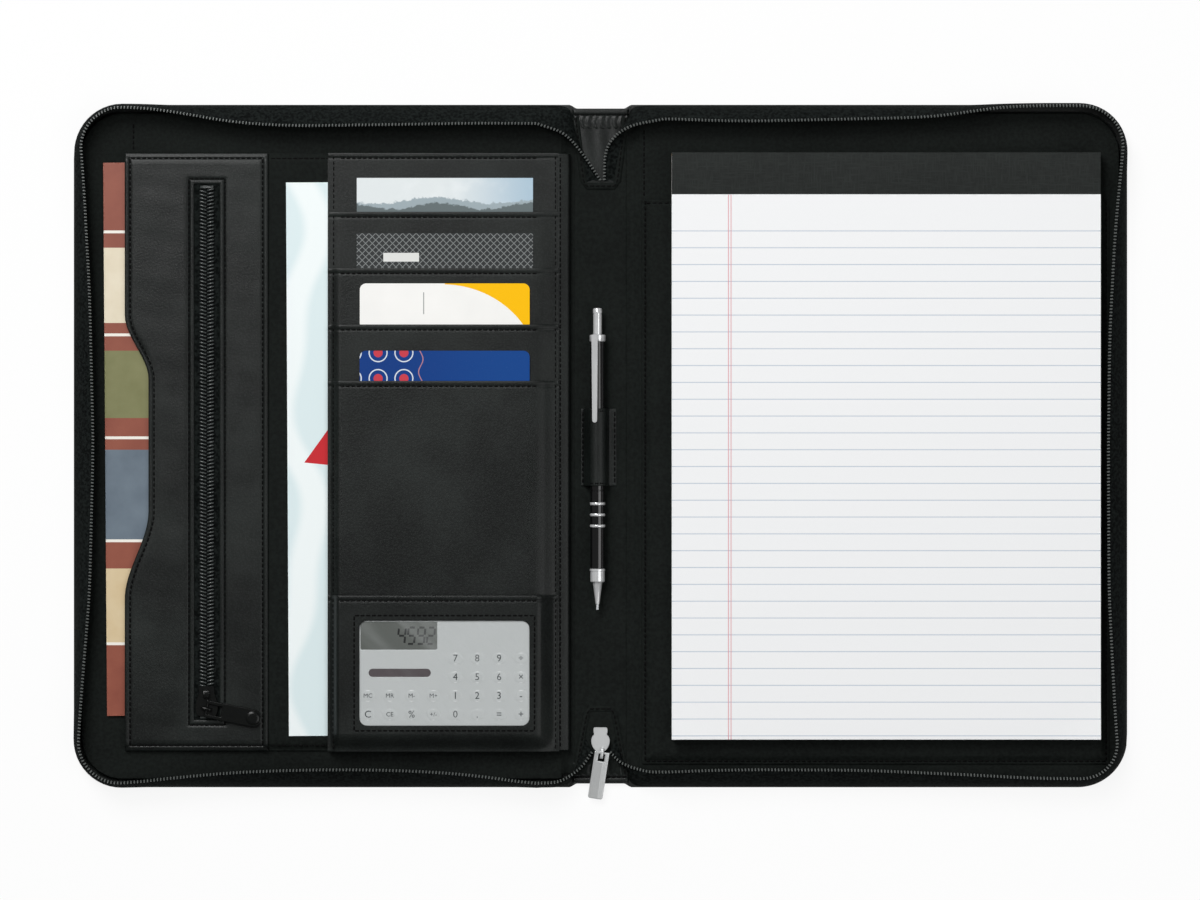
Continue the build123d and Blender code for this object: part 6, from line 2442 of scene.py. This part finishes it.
# Right half of each slider's plates, from the head to the foot.
MAIN_PLATE = ((0.0, 6.2), (2.6, 6.2), (3.5, 5.7), (3.55, 4.0), (3.3, 2.7), (4.2, 1.5), (4.7, -0.2),
              (4.4, -2.4), (3.3, -4.6), (1.7, -5.9), (0.0, -6.2))
POCKET_PLATE = ((0.0, 7.6), (2.9, 7.6), (3.9, 7.1), (4.05, 4.6), (4.3, 3.0), (5.2, 0.5), (5.8, -2.5),
                (5.5, -5.2), (4.8, -7.0), (3.6, -7.6), (0.0, -7.6))


def main() -> None:
    """Builds every piece and the set, and dresses the cards."""
    logging.basicConfig(level=logging.INFO, format="%(message)s")
    right = Cover(1, "right")
    left = Cover(-1, "left", tack=(236.0, 149.5, 163.0))
    top_foot = [(17.0, 171.2, 1.2), (13.4, 162.0, 2.9), (7.2, 133.4, 2.9)]
    low_foot = [(17.0, -171.2, 1.2), (13.0, -163.0, 2.9), (8.2, -146.0, 2.9)]
    right_top = [(15.4, 161.1, 10.5), (6.3, 155.0, 7.0), (2.5, 147.0, 5.0), (1.9, 133.9, 3.4)]
    right_low = [(22.5, -163.6, 11.0), (10.9, -160.0, 6.5), (4.6, -154.2, 4.4)]
    left_top = [(18.4, 157.1, 10.5), (8.8, 147.0, 6.0), (-0.2, 133.9, 3.4)]
    left_low = [(20.5, -168.7, 10.0), (10.4, -162.6, 6.0), (4.0, -154.2, 4.4)]
    right_wall = ZipperWall(right, RIGHT_LEANS, right_top, top_foot, right_low, low_foot)
    left_wall = ZipperWall(left, LEFT_LEANS, left_top, top_foot, left_low, low_foot)
    main_slider = Slider("main", "main_pull_tag", SATIN, "steel_trim", MAIN_PLATE, (3.0, 3.7, 5.0, 5.7),
                         (0.8, -154.95, 6.6), -98.8, 10.0, (24.0, 7.5, 1.2), 1.2, facet=0.13,
                         middle=(0.0, -148.35))
    pocket_slider = Slider("pocket", "pocket_slider_pull", BLACK_ENAMEL, "black_slider", POCKET_PLATE,
                           (5.6, 6.3, 8.0, 8.7), (-198.6, -132.45, 9.5), -11.5, 1.8, (28.2, 9.0, 1.0), 4.4,
                           disc=3.5, ridge=(1.6, 5.6, 1.6, 10.7), middle=(-198.6, -128.65), eye=(7.6, 5.0))
    papers = [LoosePaper("magazine", Motif.BLOCKS, (215.9, 279.4), 0.41),
              LoosePaper("brochure", Motif.BANDS, (129.0, 279.4), 0.3, leaf_t=0.3)]
    ends = [SpineEnd("top", 1, 132.2, 7.2, INNER_LEATHER, pleat=0.3, crest=1.9),
            # The bottom gusset is leather; the darker lining cloth on it is painted shade.
            SpineEnd("bottom", -1, -133.6, 5.6, LINING, pleat=0.12, crest=1.6)]
    parts = [right, left, right_wall, left_wall, Spine(), *ends, PenLoop(), PadPocket(), WritingPad(), Pen(),
             DocumentPocket(), Organizer(), *papers, Calculator(), main_slider, pocket_slider, Set()]
    for part in parts:
        part.build()
    for number, motif in enumerate((Motif.SKY, Motif.LATTICE, Motif.CORNER, Motif.DOTS), start=1):
        name = "card_%d" % number
        middle = tuple(Extent.of(name).middle[:2].tolist())
        dress(name, Print(name + "_print", motif, middle, gloss=0.4 if number < 3 else 0.25))


if __name__ == "__main__":
    main()
